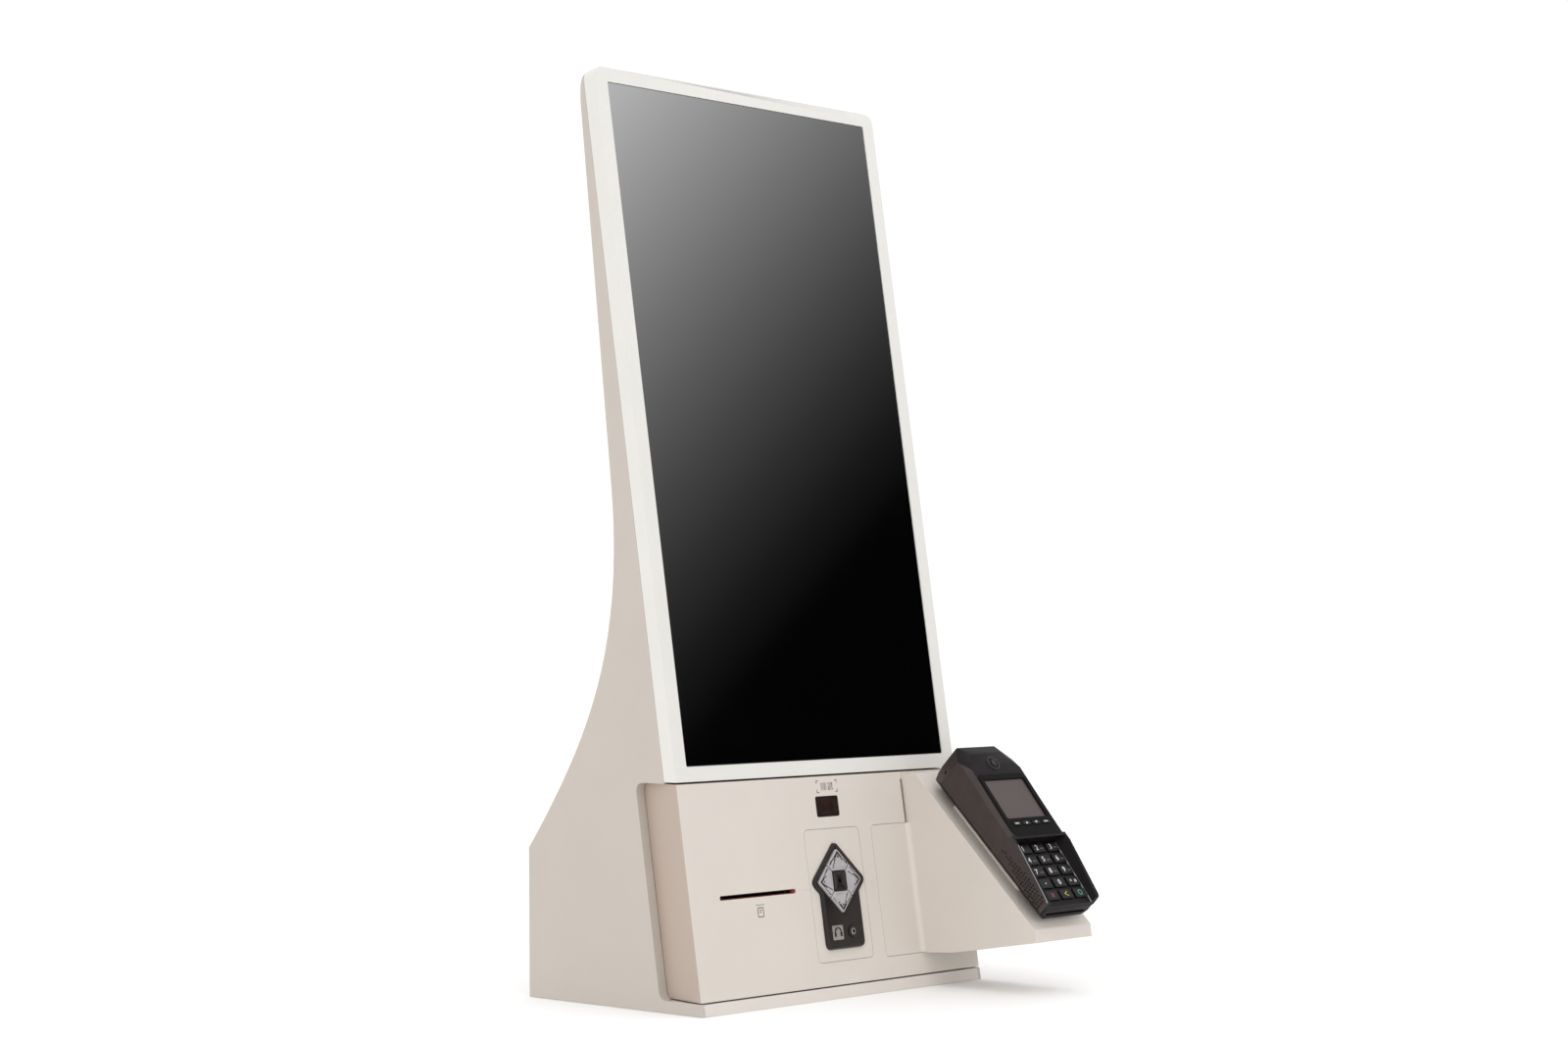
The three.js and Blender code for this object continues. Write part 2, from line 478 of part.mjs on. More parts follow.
const diamond = (half) => rounded(
  [[NAV.x, NAV.s - half], [NAV.x + half, NAV.s], [NAV.x, NAV.s + half], [NAV.x - half, NAV.s]], 2.5, 4);
const padOutline = rounded(
  rectangle(PAD.x - PAD.width / 2, PAD.x + PAD.width / 2, PAD.low, PAD.high), PAD.radius);
const padPlate = cut(prismZ(padOutline, -DOOR.plate, 0), prismZ(navOutline(GAP), -10, 10));
part(frontFace, 'keypad_plate', padPlate, LOOK.doorPaint);
const navHousing = cut(prismZ(navOutline(0), -9, NAV.rise), prismZ(diamond(NAV.keys + 0.6), -2.4, 5),
  rodZ(JACK.r + GAP, JACK.x, JACK.s, -12, 5));
part(frontFace, 'keypad_housing', navHousing, LOOK.blackPlastic);
const jack = cut(
  rodZ(JACK.r, JACK.x, JACK.s, -14, NAV.rise + 0.4), rodZ(JACK.hole, JACK.x, JACK.s, -12, 5, 20));
part(frontFace, 'audio_socket', jack, LOOK.steel);

// One arrow key: the quarter of the key diamond beyond the centre key, pointing up; turned for the others.
function arrowKey() {
  const inner = NAV.centre / 2 + 0.6;
  const middle = NAV.keys / 2;
  const outline = [[-inner + 0.5, inner], [inner - 0.5, inner], [middle - 0.5, middle + 0.2],
    [0, NAV.keys - 0.2], [-middle + 0.5, middle + 0.2]];
  return prismZ(rounded(outline, [0.6, 0.6, 0.6, 2.2, 0.6], 3), -0.9, NAV.keyRise);
}

for (const [name, turn] of Object.entries({ up: 0, left: 90, down: 180, right: 270 })) {
  const key = part(frontFace, `nav_key_${name}`, arrowKey(), LOOK.navKey);
  key.position.set(NAV.x, NAV.s, 0);
  key.rotation.z = THREE.MathUtils.degToRad(turn);
}
const centreHalf = NAV.centre / 2;
const centreOutline = rounded(
  rectangle(NAV.x - centreHalf, NAV.x + centreHalf, NAV.s - centreHalf, NAV.s + centreHalf), 2.4, 4);
part(frontFace, 'nav_key_centre', prismZ(centreOutline, -0.9, NAV.keyRise + 0.4), LOOK.blackPlastic);

// ---------------------------------------------------------------- terminal arm
const armSide = [
  [ARM_NOSE.low + 3.3, GAP], [ARM_TOP.s, GAP], [ARM_TOP.s, 4], [ARM_TOP.slopeS, ARM_TOP.slopeN],
  [ARM_NOSE.high, ARM_NOSE.n], [ARM_NOSE.low, ARM_NOSE.n], [ARM_NOSE.low, 35]];
const armHollow = inset(armSide, ARM_WALL).map(([s, n]) => [s, n < 10 ? -2 : n]);
const armBody = cut(
  prismX(armSide, ARM.x0, ARM.x1), prismX(armHollow, ARM.x0 + ARM_WALL, ARM.x1 - ARM_WALL));
const armPlateOutline = rounded(
  rectangle(ARM.plateX0, ARM.plateX1, ARM.plateLow, ARM.plateHigh), [4.5, 0, 0, 4.5]);
const armPlate = cut(prismZ(armPlateOutline, -DOOR.plate, 0), box(118, 140, 60, 120, -10, 10));
const armRoot = box(ARM.x0, ARM.x0 + ARM_WALL, ARM.plateLow, ARM.plateHigh, -1, 1);
const cableHole = box(139, 159, 78, 96, 60, 115);
part(frontFace, 'bracket_arm', cut(join(armBody, armPlate, armRoot), cableHole), LOOK.doorPaint);

// ---------------------------------------------------------------- payment terminal
// Outlines here are in (t, m): down the arm's slope from its top edge, and out of it.
const terminalPrism = (outline, half) => {
  const points = outline.map(([t, m]) => [-t, m]);
  const area = points.reduce((sum, [y, z], i) => {
    const [nextY, nextZ] = points[(i + 1) % points.length];
    return sum + y * nextZ - nextY * z;
  }, 0);
  return prismX(area > 0 ? points : points.reverse(), -half, half);
};
const caseHalf = TERMINAL.half;
const planOutline = (shrink) => rounded([
  [-caseHalf + shrink, -184.9 + shrink], [caseHalf - shrink, -184.9 + shrink], [caseHalf - shrink, -26.5],
  [27.5 - shrink, -11 - shrink], [-27.5 + shrink, -11 - shrink], [-caseHalf + shrink, -26.5]],
[7, 7, 2, 2, 2, 2]);

const adapter = rounded(rectangle(-25, 25, -147, -43), 4);
part(armSlope, 'adapter_plate', cut(prismZ(adapter, GAP, 4.7), box(-9, 9, -106, -88, -1, 8)), LOOK.doorPaint);

const lowerSide = [
  [10.2, TERMINAL.split], [10.2, 15], [17, 5], [184, 5], [185.2, 9], [184.6, TERMINAL.split]];
const cardSlot = box(-28, 28, -200, -150, 9.6, 12.4);
const lockHole = rodX(1.6, -caseHalf - 1, -caseHalf + 6, -22.6, 23.3, 12);
const alongY = new THREE.Matrix4().makeBasis(
  new THREE.Vector3(1, 0, 0), new THREE.Vector3(0, 0, 1), new THREE.Vector3(0, -1, 0));
// A prism that runs down the slope over an outline in (x, m), on the left or the right side.
function sideCutter(outline, side, length) {
  const points = outline.map(([x, m]) => [side * x, m]);
  return prismZ(side > 0 ? points : points.reverse(), 0, length).applyMatrix4(alongY);
}
const keel = [[46, 0], [46, 14.5], [caseHalf, 14.5], [28, 5], [28, 0]];
const lowerCase = cut(common(terminalPrism(lowerSide, caseHalf), prismZ(planOutline(0.4), 0, 60)), cardSlot,
  sideCutter(keel, -1, 200), sideCutter(keel, 1, 200));
part(armSlope, 'terminal_lower_case', lowerCase, LOOK.terminal);

const upperSide = [
  [10.2, TERMINAL.split + GAP], [11.4, 43.4], [23, 47.6], [38, 47], [96.6, 40.7], [109.5, 39.6],
  [124.7, 38.9], [183.2, 26.4], [184.5, TERMINAL.split + GAP]];
const shoulderOutline = [[34, 52], [45, 52], [45, 36], [caseHalf, 42.4], [35.4, 46.4]];
const shoulder = (side) => sideCutter(shoulderOutline, side, 112)
  .rotateX(THREE.MathUtils.degToRad(5)).translate(0, 0, 3);
// A flat facet across each rear corner of the head, through three points (x, t, m).
const HEAD_FACET = [[20.5, 21.5, 47.6], [34.6, 41, 46.7], [caseHalf, 29.5, 42.8]];
function headFacet(side) {
  const [a, b, c] = HEAD_FACET.map(([x, t, m]) => new THREE.Vector3(side * x, -t, m));
  const along = b.clone().sub(a).normalize();
  const outward = along.clone().cross(c.clone().sub(a)).normalize();
  if (outward.z < 0) outward.negate();
  const turn = new THREE.Matrix4().makeBasis(along, outward.clone().cross(along), outward);
  return box(-60, 60, -60, 60, 0, 30).applyMatrix4(turn.setPosition(a));
}
const padDepth = 30;
const valleyWide = caseHalf - 1.2;
const valleySection = [
  [-TERMINAL_PAD.half, 0], [TERMINAL_PAD.half, 0], [valleyWide, 11], [valleyWide, padDepth],
  [-valleyWide, padDepth], [-valleyWide, 11]];
const keypadPlane = new THREE.Group();
keypadPlane.position.set(0, -TERMINAL_PAD.t, TERMINAL_PAD.m);
keypadPlane.rotation.x = TERMINAL_PAD.fall;
keypadPlane.updateMatrix();
armSlope.add(keypadPlane);
const onKeypad = (shape) => shape.applyMatrix4(keypadPlane.matrix);
const valley = onKeypad(prismZ(valleySection, 0, 80).applyMatrix4(alongY));

const { pitchX, pitchY, firstY } = TERMINAL_KEYS;
const keyPlaces = [];
for (let row = 0; row < TERMINAL_KEYS.rows; row += 1) {
  for (let column = 0; column < TERMINAL_KEYS.columns; column += 1) {
    keyPlaces.push({ x: (column - 1) * pitchX, y: firstY - row * pitchY });
  }
}
const keyOutline = (width, height, grow) => rounded(
  rectangle(-width / 2 - grow, width / 2 + grow, -height / 2 - grow, height / 2 + grow), 1.6, 3);
const functionFace = 40.2;
let upperCase = cut(common(terminalPrism(upperSide, caseHalf), prismZ(planOutline(0), 0, 80)),
  shoulder(-1), shoulder(1), headFacet(-1), headFacet(1), valley, lockHole);
for (const { x, y } of keyPlaces) {
  const pocket = prismZ(
    keyOutline(TERMINAL_KEYS.width, TERMINAL_KEYS.height, 0.35), -3.6, 4).translate(x, y, 0);
  upperCase = cut(upperCase, onKeypad(pocket));
}
const functionX = (index) => (index - (FUNCTION_KEYS.count - 1) / 2) * FUNCTION_KEYS.pitch;
const functionPocket = keyOutline(FUNCTION_KEYS.width, FUNCTION_KEYS.height, 0.35);
for (let i = 0; i < FUNCTION_KEYS.count; i += 1) {
  const pocket = prismZ(functionPocket, functionFace - 4, 60).translate(functionX(i), -FUNCTION_KEYS.t, 0);
  upperCase = cut(upperCase, pocket);
}
const DISPLAY = { half: 28.5, t0: 53.6, t1: 96.8, fall: Math.atan2(6.3, 58.6) };
const displayFrame = new THREE.Group();
displayFrame.position.set(0, -(DISPLAY.t0 + DISPLAY.t1) / 2, 43);
displayFrame.rotation.x = DISPLAY.fall;
displayFrame.updateMatrix();
armSlope.add(displayFrame);
const displayHeight = (DISPLAY.t1 - DISPLAY.t0) / 2;
const displayOutline = (grow) => rounded(rectangle(
  -DISPLAY.half - grow, DISPLAY.half + grow, -displayHeight - grow, displayHeight + grow), 1.5 + grow, 3);
upperCase = cut(upperCase, prismZ(displayOutline(GAP), -3.4, 10).applyMatrix4(displayFrame.matrix));
part(armSlope, 'terminal_upper_case', upperCase, LOOK.terminal);
part(displayFrame, 'terminal_display', prismZ(displayOutline(0), -3, -0.8), LOOK.glass);

const KEY_NAMES = [
  '1', '2', '3', '4', '5', '6', '7', '8', '9', 'blank', '0', 'symbol', 'cancel', 'clear', 'enter'];
keyPlaces.forEach(({ x, y }, index) => {
  const shape = prismZ(keyOutline(TERMINAL_KEYS.width, TERMINAL_KEYS.height, 0), -2.3, 1.7);
  const key = part(keypadPlane, `terminal_key_${KEY_NAMES[index]}`, shape, LOOK.terminal);
  key.position.set(x, y, 0);
});
const functionOutline = keyOutline(FUNCTION_KEYS.width, FUNCTION_KEYS.height, 0);
for (let i = 0; i < FUNCTION_KEYS.count; i += 1) {
  const shape = prismZ(functionOutline, functionFace - 2.6, functionFace + 1.2);
  const key = part(armSlope, `function_key_${i + 1}`, shape, LOOK.greyPlastic);
  key.position.set(functionX(i), -FUNCTION_KEYS.t, 0);
}

export default kiosk;
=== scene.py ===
"""Looks of the counter-top touchscreen kiosk: finishes, soft edges, keypads, legends and trim."""

import json
import math

import bmesh
import bpy
from mathutils import Matrix, Vector
from mathutils.geometry import tessellate_polygon

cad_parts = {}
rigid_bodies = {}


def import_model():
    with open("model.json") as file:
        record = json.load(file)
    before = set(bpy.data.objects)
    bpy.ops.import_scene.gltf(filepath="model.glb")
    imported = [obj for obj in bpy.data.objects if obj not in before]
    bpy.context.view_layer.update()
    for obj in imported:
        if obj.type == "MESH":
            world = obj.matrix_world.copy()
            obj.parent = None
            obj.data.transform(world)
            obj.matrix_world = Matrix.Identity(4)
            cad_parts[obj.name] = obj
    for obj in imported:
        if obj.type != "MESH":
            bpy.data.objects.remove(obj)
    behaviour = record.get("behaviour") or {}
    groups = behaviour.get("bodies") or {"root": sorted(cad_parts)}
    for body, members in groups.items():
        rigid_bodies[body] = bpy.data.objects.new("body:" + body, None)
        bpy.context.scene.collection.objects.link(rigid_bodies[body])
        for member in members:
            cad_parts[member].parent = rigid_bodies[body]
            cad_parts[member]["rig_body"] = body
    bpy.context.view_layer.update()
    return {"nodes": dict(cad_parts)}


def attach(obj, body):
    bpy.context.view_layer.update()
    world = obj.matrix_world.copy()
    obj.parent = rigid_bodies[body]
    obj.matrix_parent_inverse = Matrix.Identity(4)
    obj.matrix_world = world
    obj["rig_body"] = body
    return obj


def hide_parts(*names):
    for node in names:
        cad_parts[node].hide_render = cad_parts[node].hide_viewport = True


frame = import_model()
nodes = frame["nodes"]

# ------------------------------------------------------------------ frames (millimetres inside each)
MM = Matrix.Scale(0.001, 4)


def move(x, y, z):
    return Matrix.Translation((x / 1000, y / 1000, z / 1000))


def tip(degrees, axis="X"):
    return Matrix.Rotation(math.radians(degrees), 4, axis)


FRONT = -105.9  # the y of the front face's foot
LEAN = 9.26  # degrees by which the front face leans back
TERMINAL_X, TERMINAL_HALF = 149, 39
ARM_SLOPE = math.degrees(math.atan2(113.9, 153.9))
PANEL_RISE = math.degrees(math.atan2(6.3, 58.6))
ROW = Matrix.Identity(4)
FACE = move(0, FRONT, 0) @ tip(90 - LEAN)  # x across, y up the front face, z out of it
SLOPE = FACE @ move(TERMINAL_X, 192.6, 16.5) @ tip(-ARM_SLOPE)  # y up the arm's sloping top
KEYPAD = SLOPE @ move(0, -118, 29.8) @ tip(7.2)
PANEL = SLOPE @ move(0, -75.2, 43) @ tip(PANEL_RISE)  # the terminal's display panel

NAV = (3.1, 102.3)  # centre of the arrow keys on the front face
SOCKET = (12.8, 57)  # centre of the audio socket
PRINT = (-0.1, 0.06)  # heights from and to which a printed mark stands on the door
KEY_PRINT = (1.64, 1.78)  # and on a terminal key
KEY_PITCH = (20, 12.5)
KEY_FIRST_ROW = -6.2
FUNCTION_KEYS, FUNCTION_PITCH = 4, 14
KEY_NAMES = ["1", "2", "3", "4", "5", "6", "7", "8", "9", "blank", "0", "symbol", "cancel", "clear", "enter"]


# ------------------------------------------------------------------ finishes
def tone(red, green, blue, gain=1.0):
    """An sRGB colour as linear light."""
    linear = [((c / 255 + 0.055) / 1.055) ** 2.4 if c > 10 else c / 255 / 12.92 for c in (red, green, blue)]
    return [min(1.0, c * gain) for c in linear] + [1.0]


def finish(name, colour, rough, metal=0.0, mottle=0.03, mottle_size=0.05, grain=0.0, grain_size=0.001,
           spread=0.05, specular=0.5, ior=1.5):
    """A procedural finish: mottled colour, uneven roughness and a fine surface grain."""
    material = bpy.data.materials.new(name)
    material.use_nodes = True
    tree = material.node_tree
    shader = tree.nodes["Principled BSDF"]
    shader.inputs["Metallic"].default_value = metal
    shader.inputs["Specular IOR Level"].default_value = specular
    shader.inputs["IOR"].default_value = ior
    place = tree.nodes.new("ShaderNodeTexCoord")

    def noise(size, detail):
        node = tree.nodes.new("ShaderNodeTexNoise")
        node.inputs["Scale"].default_value = 1 / size
        node.inputs["Detail"].default_value = detail
        tree.links.new(place.outputs["Object"], node.inputs["Vector"])
        return node.outputs["Fac"]

    ramp = tree.nodes.new("ShaderNodeValToRGB")
    dark, bright = ramp.color_ramp.elements
    dark.position, bright.position = 0.3, 0.7
    dark.color = [c * (1 - mottle) for c in colour[:3]] + [1]
    bright.color = [min(1, c * (1 + mottle)) for c in colour[:3]] + [1]
    tree.links.new(noise(mottle_size, 4), ramp.inputs["Fac"])
    tree.links.new(ramp.outputs["Color"], shader.inputs["Base Color"])
    gloss = tree.nodes.new("ShaderNodeMapRange")
    gloss.inputs["To Min"].default_value = max(0.02, rough - spread)
    gloss.inputs["To Max"].default_value = min(1.0, rough + spread)
    tree.links.new(noise(mottle_size * 0.3, 3), gloss.inputs["Value"])
    tree.links.new(gloss.outputs["Result"], shader.inputs["Roughness"])
    if grain:
        bump = tree.nodes.new("ShaderNodeBump")
        bump.inputs["Strength"].default_value = 0.6
        bump.inputs["Distance"].default_value = grain
        tree.links.new(noise(grain_size, 2), bump.inputs["Height"])
        tree.links.new(bump.outputs["Normal"], shader.inputs["Normal"])
    return material


def pair(name, rgb, rough, edge_wear_and_highlight_gain=1.08, edge_rough=0.1, **more):
    """The finish of a piece's faces and the slightly brighter, smoother one of its edges: wear, and a painted
    highlight where light catches them.
    """
    face = finish(name, tone(*rgb), rough, **more)
    edge = finish(name + "_edge", tone(*rgb, gain=edge_wear_and_highlight_gain), max(0.08, rough - edge_rough), **more)
    return [face, edge]


PAINT = dict(mottle=0.014, mottle_size=0.06, grain=0.00003, grain_size=0.0011)
MOULDED = dict(mottle=0.10, mottle_size=0.012, grain=0.00004, grain_size=0.0005)
INK = dict(mottle=0.05, mottle_size=0.002)
DOOR_INK = dict(mottle=0.08, mottle_size=0.004)
BRUSHED = dict(mottle=0.05, grain=0.00002)
LOOKS = {
    "body_paint": pair("body_paint", (187, 179, 171), 0.5, 1.05, **PAINT),
    "door_paint": pair("door_paint", (207, 199, 191), 0.5, 1.05, **PAINT),
    # darker, browner finish for the door's side walls in the finger recess: painted shade of the recess
    "door_side_painted_shade": pair("door_side_painted_shade", (178, 162, 149), 0.5, 1.05, **PAINT),
    "base_paint": pair("base_paint", (211, 204, 197), 0.48, 1.05, **PAINT),
    "bezel_paint": pair("bezel_paint", (216, 214, 209), 0.38, 1.04, **PAINT),
    "screen_glass": pair("screen_glass", (3, 3, 4), 0.06, 1.5, mottle=0.2, mottle_size=0.2, spread=0.012,
                         ior=1.9),
    "steel": pair("steel", (150, 152, 154), 0.38, 1.2, metal=0.9, mottle=0.06, grain=0.00002,
                  grain_size=0.0008),
    "black_metal": pair("black_metal", (34, 35, 39), 0.5, 1.6, metal=0.5, **MOULDED),
    "bare_aluminium": pair("bare_aluminium", (176, 178, 180), 0.34, 1.1, metal=1.0, **BRUSHED),
    "display_housing": pair("display_housing", (150, 152, 154), 0.4, 1.2, metal=0.9, mottle=0.05),
    "rubber": pair("rubber", (26, 26, 26), 0.85, 1.3, 0.1, mottle=0.15, mottle_size=0.01, grain=0.00006),
    "black_plastic": pair("black_plastic", (34, 31, 30), 0.42, 1.9, 0.14, **MOULDED),
    "grey_plastic": pair("grey_plastic", (141, 144, 147), 0.5, 1.15, **MOULDED),
    "nav_key_plastic": pair("nav_key_plastic", (168, 164, 166), 0.42, 1.2, mottle=0.03, mottle_size=0.01,
                            grain=0.00002),
    "terminal_plastic": pair("terminal_plastic", (20, 16, 17), 0.44, 3.6, 0.12, specular=0.1, **MOULDED),
    # lighter copy of the terminal's black plastic for its outward sides: painted sheen of the bright studio
    "terminal_side_painted_sheen": pair("terminal_side_painted_sheen", (60, 52, 50), 0.42, 1.8, 0.12, specular=0.3, **MOULDED),
    "terminal_face": pair("terminal_face", (15, 13, 13), 0.5, 3.4, 0.12, specular=0.06, **MOULDED),
    "terminal_dark": pair("terminal_dark", (13, 10, 11), 0.36, 2.6, 0.14, specular=0.2, **MOULDED),
    "display_glass": pair("display_glass", (76, 67, 66), 0.3, 1.1, mottle=0.03, mottle_size=0.03,
                          specular=0.25),
    "smoked_glass": pair("smoked_glass", (46, 32, 28), 0.1, 1.4, mottle=0.3, mottle_size=0.008, spread=0.03),
    "paper": pair("paper", (240, 238, 230), 0.9, 1.0, mottle=0.04, mottle_size=0.002, grain=0.00003),
    "gloss_black": pair("gloss_black", (31, 26, 26), 0.2, 1.8, mottle=0.2, mottle_size=0.02, spread=0.04,
                        specular=0.35),
    "chrome": pair("chrome", (190, 188, 188), 0.2, 1.1, metal=1.0, mottle=0.05, mottle_size=0.004),
    "print_grey": pair("print_grey", (74, 68, 64), 0.6, 1.0, **DOOR_INK),
    "print_white": pair("print_white", (226, 224, 220), 0.5, 1.0, **INK),
    "print_dim": pair("print_dim", (120, 112, 112), 0.5, 1.0, **INK),
    "print_mark": pair("print_mark", (52, 47, 44), 0.6, 1.0, **DOOR_INK),
    "print_yellow": pair("print_yellow", (196, 176, 70), 0.5, 1.0, **INK),
    "print_green": pair("print_green", (70, 160, 120), 0.5, 1.0, **INK),
    "print_red": pair("print_red", (150, 60, 70), 0.5, 1.0, **INK),
    "red_lens": pair("red_lens", (120, 34, 26), 0.25, 1.2, mottle=0.15, mottle_size=0.006),
}


# ------------------------------------------------------------------ outlines
def rectangle(x0, x1, y0, y1):
    return [(x0, y0), (x1, y0), (x1, y1), (x0, y1)]


def rounded(points, radii, steps=5):
    """Rounds a polygon's corners; radii is one radius, or one for each corner."""
    result = []
    for i, point in enumerate(points):
        radius = radii[i] if isinstance(radii, (list, tuple)) else radii
        here = Vector(point)
        if not radius:
            result.append(tuple(here))
            continue
        before = (Vector(points[i - 1]) - here).normalized()
        after = (Vector(points[(i + 1) % len(points)]) - here).normalized()
        reach = radius / math.tan(before.angle(after) / 2)
        start, end = here + before * reach, here + after * reach
        for k in range(steps + 1):
            t = k / steps
            result.append(tuple(start * (1 - t) ** 2 + here * 2 * t * (1 - t) + end * t ** 2))
    return result


def inset(points, distance):
    """Moves every edge of a counter-clockwise outline inwards."""
    result = []
    for i, point in enumerate(points):
        here = Vector(point)
        first = (here - Vector(points[i - 1])).normalized()
        second = (Vector(points[(i + 1) % len(points)]) - here).normalized()
        a, b = Vector((-first.y, first.x)), Vector((-second.y, second.x))
        result.append(tuple(here + (a + b) * (distance / (1 + a.dot(b)))))
    return result


def circle(x, y, radius, count=24):
    return [(x + radius * math.cos(2 * math.pi * i / count), y + radius * math.sin(2 * math.pi * i / count))
            for i in range(count)]


def soft_box(x0, x1, y0, y1, radius, steps=5):
    return rounded(rectangle(x0, x1, y0, y1), radius, steps)


def soft_rim(height, radius, start, steps=4):
    """Levels from a start height up to a rim whose edge is a quarter round."""
    levels = [(0, start)]
    for k in range(steps + 1):
        a = math.pi / 2 * k / steps
        levels.append((radius * (1 - math.cos(a)), height - radius * (1 - math.sin(a))))
    return levels


# ------------------------------------------------------------------ pieces
def dress(obj, look, width=0.0, segments=2, angle=30):
    """Gives an object its two finishes, smooth shading and, with a width, softened edges."""
    obj.data.materials.clear()
    for material in LOOKS[look]:
        obj.data.materials.append(material)
    obj.data.shade_smooth()
    if width:
        bevel = obj.modifiers.new("soft_edges", "BEVEL")
        bevel.width = width / 1000
        bevel.segments = segments
        bevel.limit_method = "ANGLE"
        bevel.angle_limit = math.radians(angle)
        bevel.harden_normals = True
        # the bevel's faces take the brighter edge finish: wear plus a painted highlight along the edges
        bevel.material = 1
        bevel.use_clamp_overlap = True
    else:
        obj.data.set_sharp_from_angle(angle=math.radians(angle))
    weigh = obj.modifiers.new("flat_faces_stay_flat", "WEIGHTED_NORMAL")
    weigh.keep_sharp = True
    weigh.weight = 80


def add(name, shape, where, body, look, width=0.0, replaces=None, segments=2, angle=30):
    """Makes a piece from a shape in a frame's millimetres and lets it ride on a body."""
    bmesh.ops.recalc_face_normals(shape, faces=shape.faces)
    shape.transform(where @ MM)
    mesh = bpy.data.meshes.new(name)
    shape.to_mesh(mesh)
    shape.free()
    obj = bpy.data.objects.new(name, mesh)
    bpy.context.scene.collection.objects.link(obj)
    dress(obj, look, width, segments, angle)
    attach(obj, body)
    if replaces:
        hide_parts(replaces)
    return obj


def wall(shape, outline, levels):
    """Rings of vertices at (inset, height) levels, joined by quads."""
    rings = [[shape.verts.new((x, y, height)) for x, y in inset(outline, depth)] for depth, height in levels]
    for low, high in zip(rings, rings[1:]):
        for i in range(len(low)):
            k = (i + 1) % len(low)
            shape.faces.new((low[i], low[k], high[k], high[i]))
    return rings


def fill(shape, rings):
    """A flat face over the first ring with the others as holes in it."""
    if len(rings) == 1:
        shape.faces.new(rings[0])
        return
    flat = [vertex for ring in rings for vertex in ring]
    for a, b, c in tessellate_polygon([[vertex.co for vertex in ring] for ring in rings]):
        shape.faces.new((flat[a], flat[b], flat[c]))


def relief(outline, levels, holes=(), through=False, into=None):
    """A closed body that rises through (inset, height) levels, with stepped hollows or through holes."""
    shape = into or bmesh.new()
    outer = wall(shape, outline, levels)
    inner = [wall(shape, hole, steps) for hole, steps in holes]
    fill(shape, [outer[-1]] + [rings[0] for rings in inner])
    if through:
        fill(shape, [outer[0]] + [rings[-1] for rings in inner])
    else:
        fill(shape, [outer[0]])
        for rings in inner:
            fill(shape, [rings[-1]])
    return shape


def block(shape, x0, x1, y0, y1, z0, z1):
    """Adds a box with slightly drawn-in upper edges."""
    ease = min(0.15, (x1 - x0) / 5, (y1 - y0) / 5)
    return relief(rectangle(x0, x1, y0, y1), [(0, z0), (0, z1 - ease / 2), (ease, z1)], into=shape)


def dome(shape, x, y, radius, z0, height, count=12, steps=4):
    """Adds a rounded button on a flat face."""
    turns = [math.pi / 2 * k / steps for k in range(steps)]
    levels = [(radius * (1 - math.cos(a)), z0 + height * math.sin(a)) for a in turns]
    levels.append((radius * 0.97, z0 + height))
    return relief(circle(x, y, radius, count), [(0, z0 - 0.3)] + levels, into=shape)


def glyph(shape, text, x, y, size, z0, z1):
    """Adds a generic figure, centred on (x, y)."""
    curve = bpy.data.curves.new("figure", "FONT")
    curve.body = text
    curve.size = size
    curve.align_x, curve.align_y = "CENTER", "CENTER"
    curve.extrude = (z1 - z0) / 2
    curve.resolution_u = 3
    holder = bpy.data.objects.new("figure", curve)
    bpy.context.scene.collection.objects.link(holder)
    mesh = bpy.data.meshes.new_from_object(holder.evaluated_get(bpy.context.evaluated_depsgraph_get()))
    mesh.transform(Matrix.Translation((x, y, (z0 + z1) / 2)))
    shape.from_mesh(mesh)
    bmesh.ops.remove_doubles(shape, verts=shape.verts, dist=1e-4)
    bpy.data.objects.remove(holder)
    bpy.data.curves.remove(curve)
    bpy.data.meshes.remove(mesh)
    return shape


def stroke(shape, points, width, z0, z1, closed=False):
    """Adds a raised line of constant width along points."""
    count = len(points)
    left, right = [], []
    for i, point in enumerate(points):
        here = Vector(point)
        before = Vector(points[i - 1]) if i or closed else here
        after = Vector(points[(i + 1) % count]) if i < count - 1 or closed else here
        a = (here - before).normalized() if here != before else (after - here).normalized()
        b = (after - here).normalized() if after != here else a
        side = Vector((-(a + b).y, (a + b).x)).normalized()
        reach = width / 2 / max(0.4, side.dot(Vector((-a.y, a.x))))
        left.append(here + side * reach)
        right.append(here - side * reach)
    if closed:
        outer, inner = (left, right) if area(left) > area(right) else (right, left)
        outer = [tuple(p) for p in (outer if area_signed(outer) > 0 else outer[::-1])]
        inner = [tuple(p) for p in (inner if area_signed(inner) > 0 else inner[::-1])]
        return relief(outer, [(0, z0), (0, z1)], [(inner, [(0, z1), (0, z0)])], through=True, into=shape)
    outline = [tuple(p) for p in right + left[::-1]]
    if area_signed(outline) < 0:
        outline = outline[::-1]
    return relief(outline, [(0, z0), (0, z1)], into=shape)


def area_signed(points):
    return sum(points[i - 1][0] * p[1] - p[0] * points[i - 1][1] for i, p in enumerate(points)) / 2


def area(points):
    return abs(area_signed(points))


def arc(x, y, radius, start, end, count=10):
    angles = [math.radians(start + (end - start) * i / count) for i in range(count + 1)]
    return [(x + radius * math.cos(a), y + radius * math.sin(a)) for a in angles]


# ------------------------------------------------------------------ CAD nodes
FLAT = 0.05  # facets whose directions differ by fewer degrees are one flat face
SAME_POINT = 2e-6
# Notched faces of these nodes fold over when they are merged into one polygon and then bevelled.
KEEPS_TRIANGLES = {"adapter_plate", "base_plate", "printer_body", "printer_lid"}


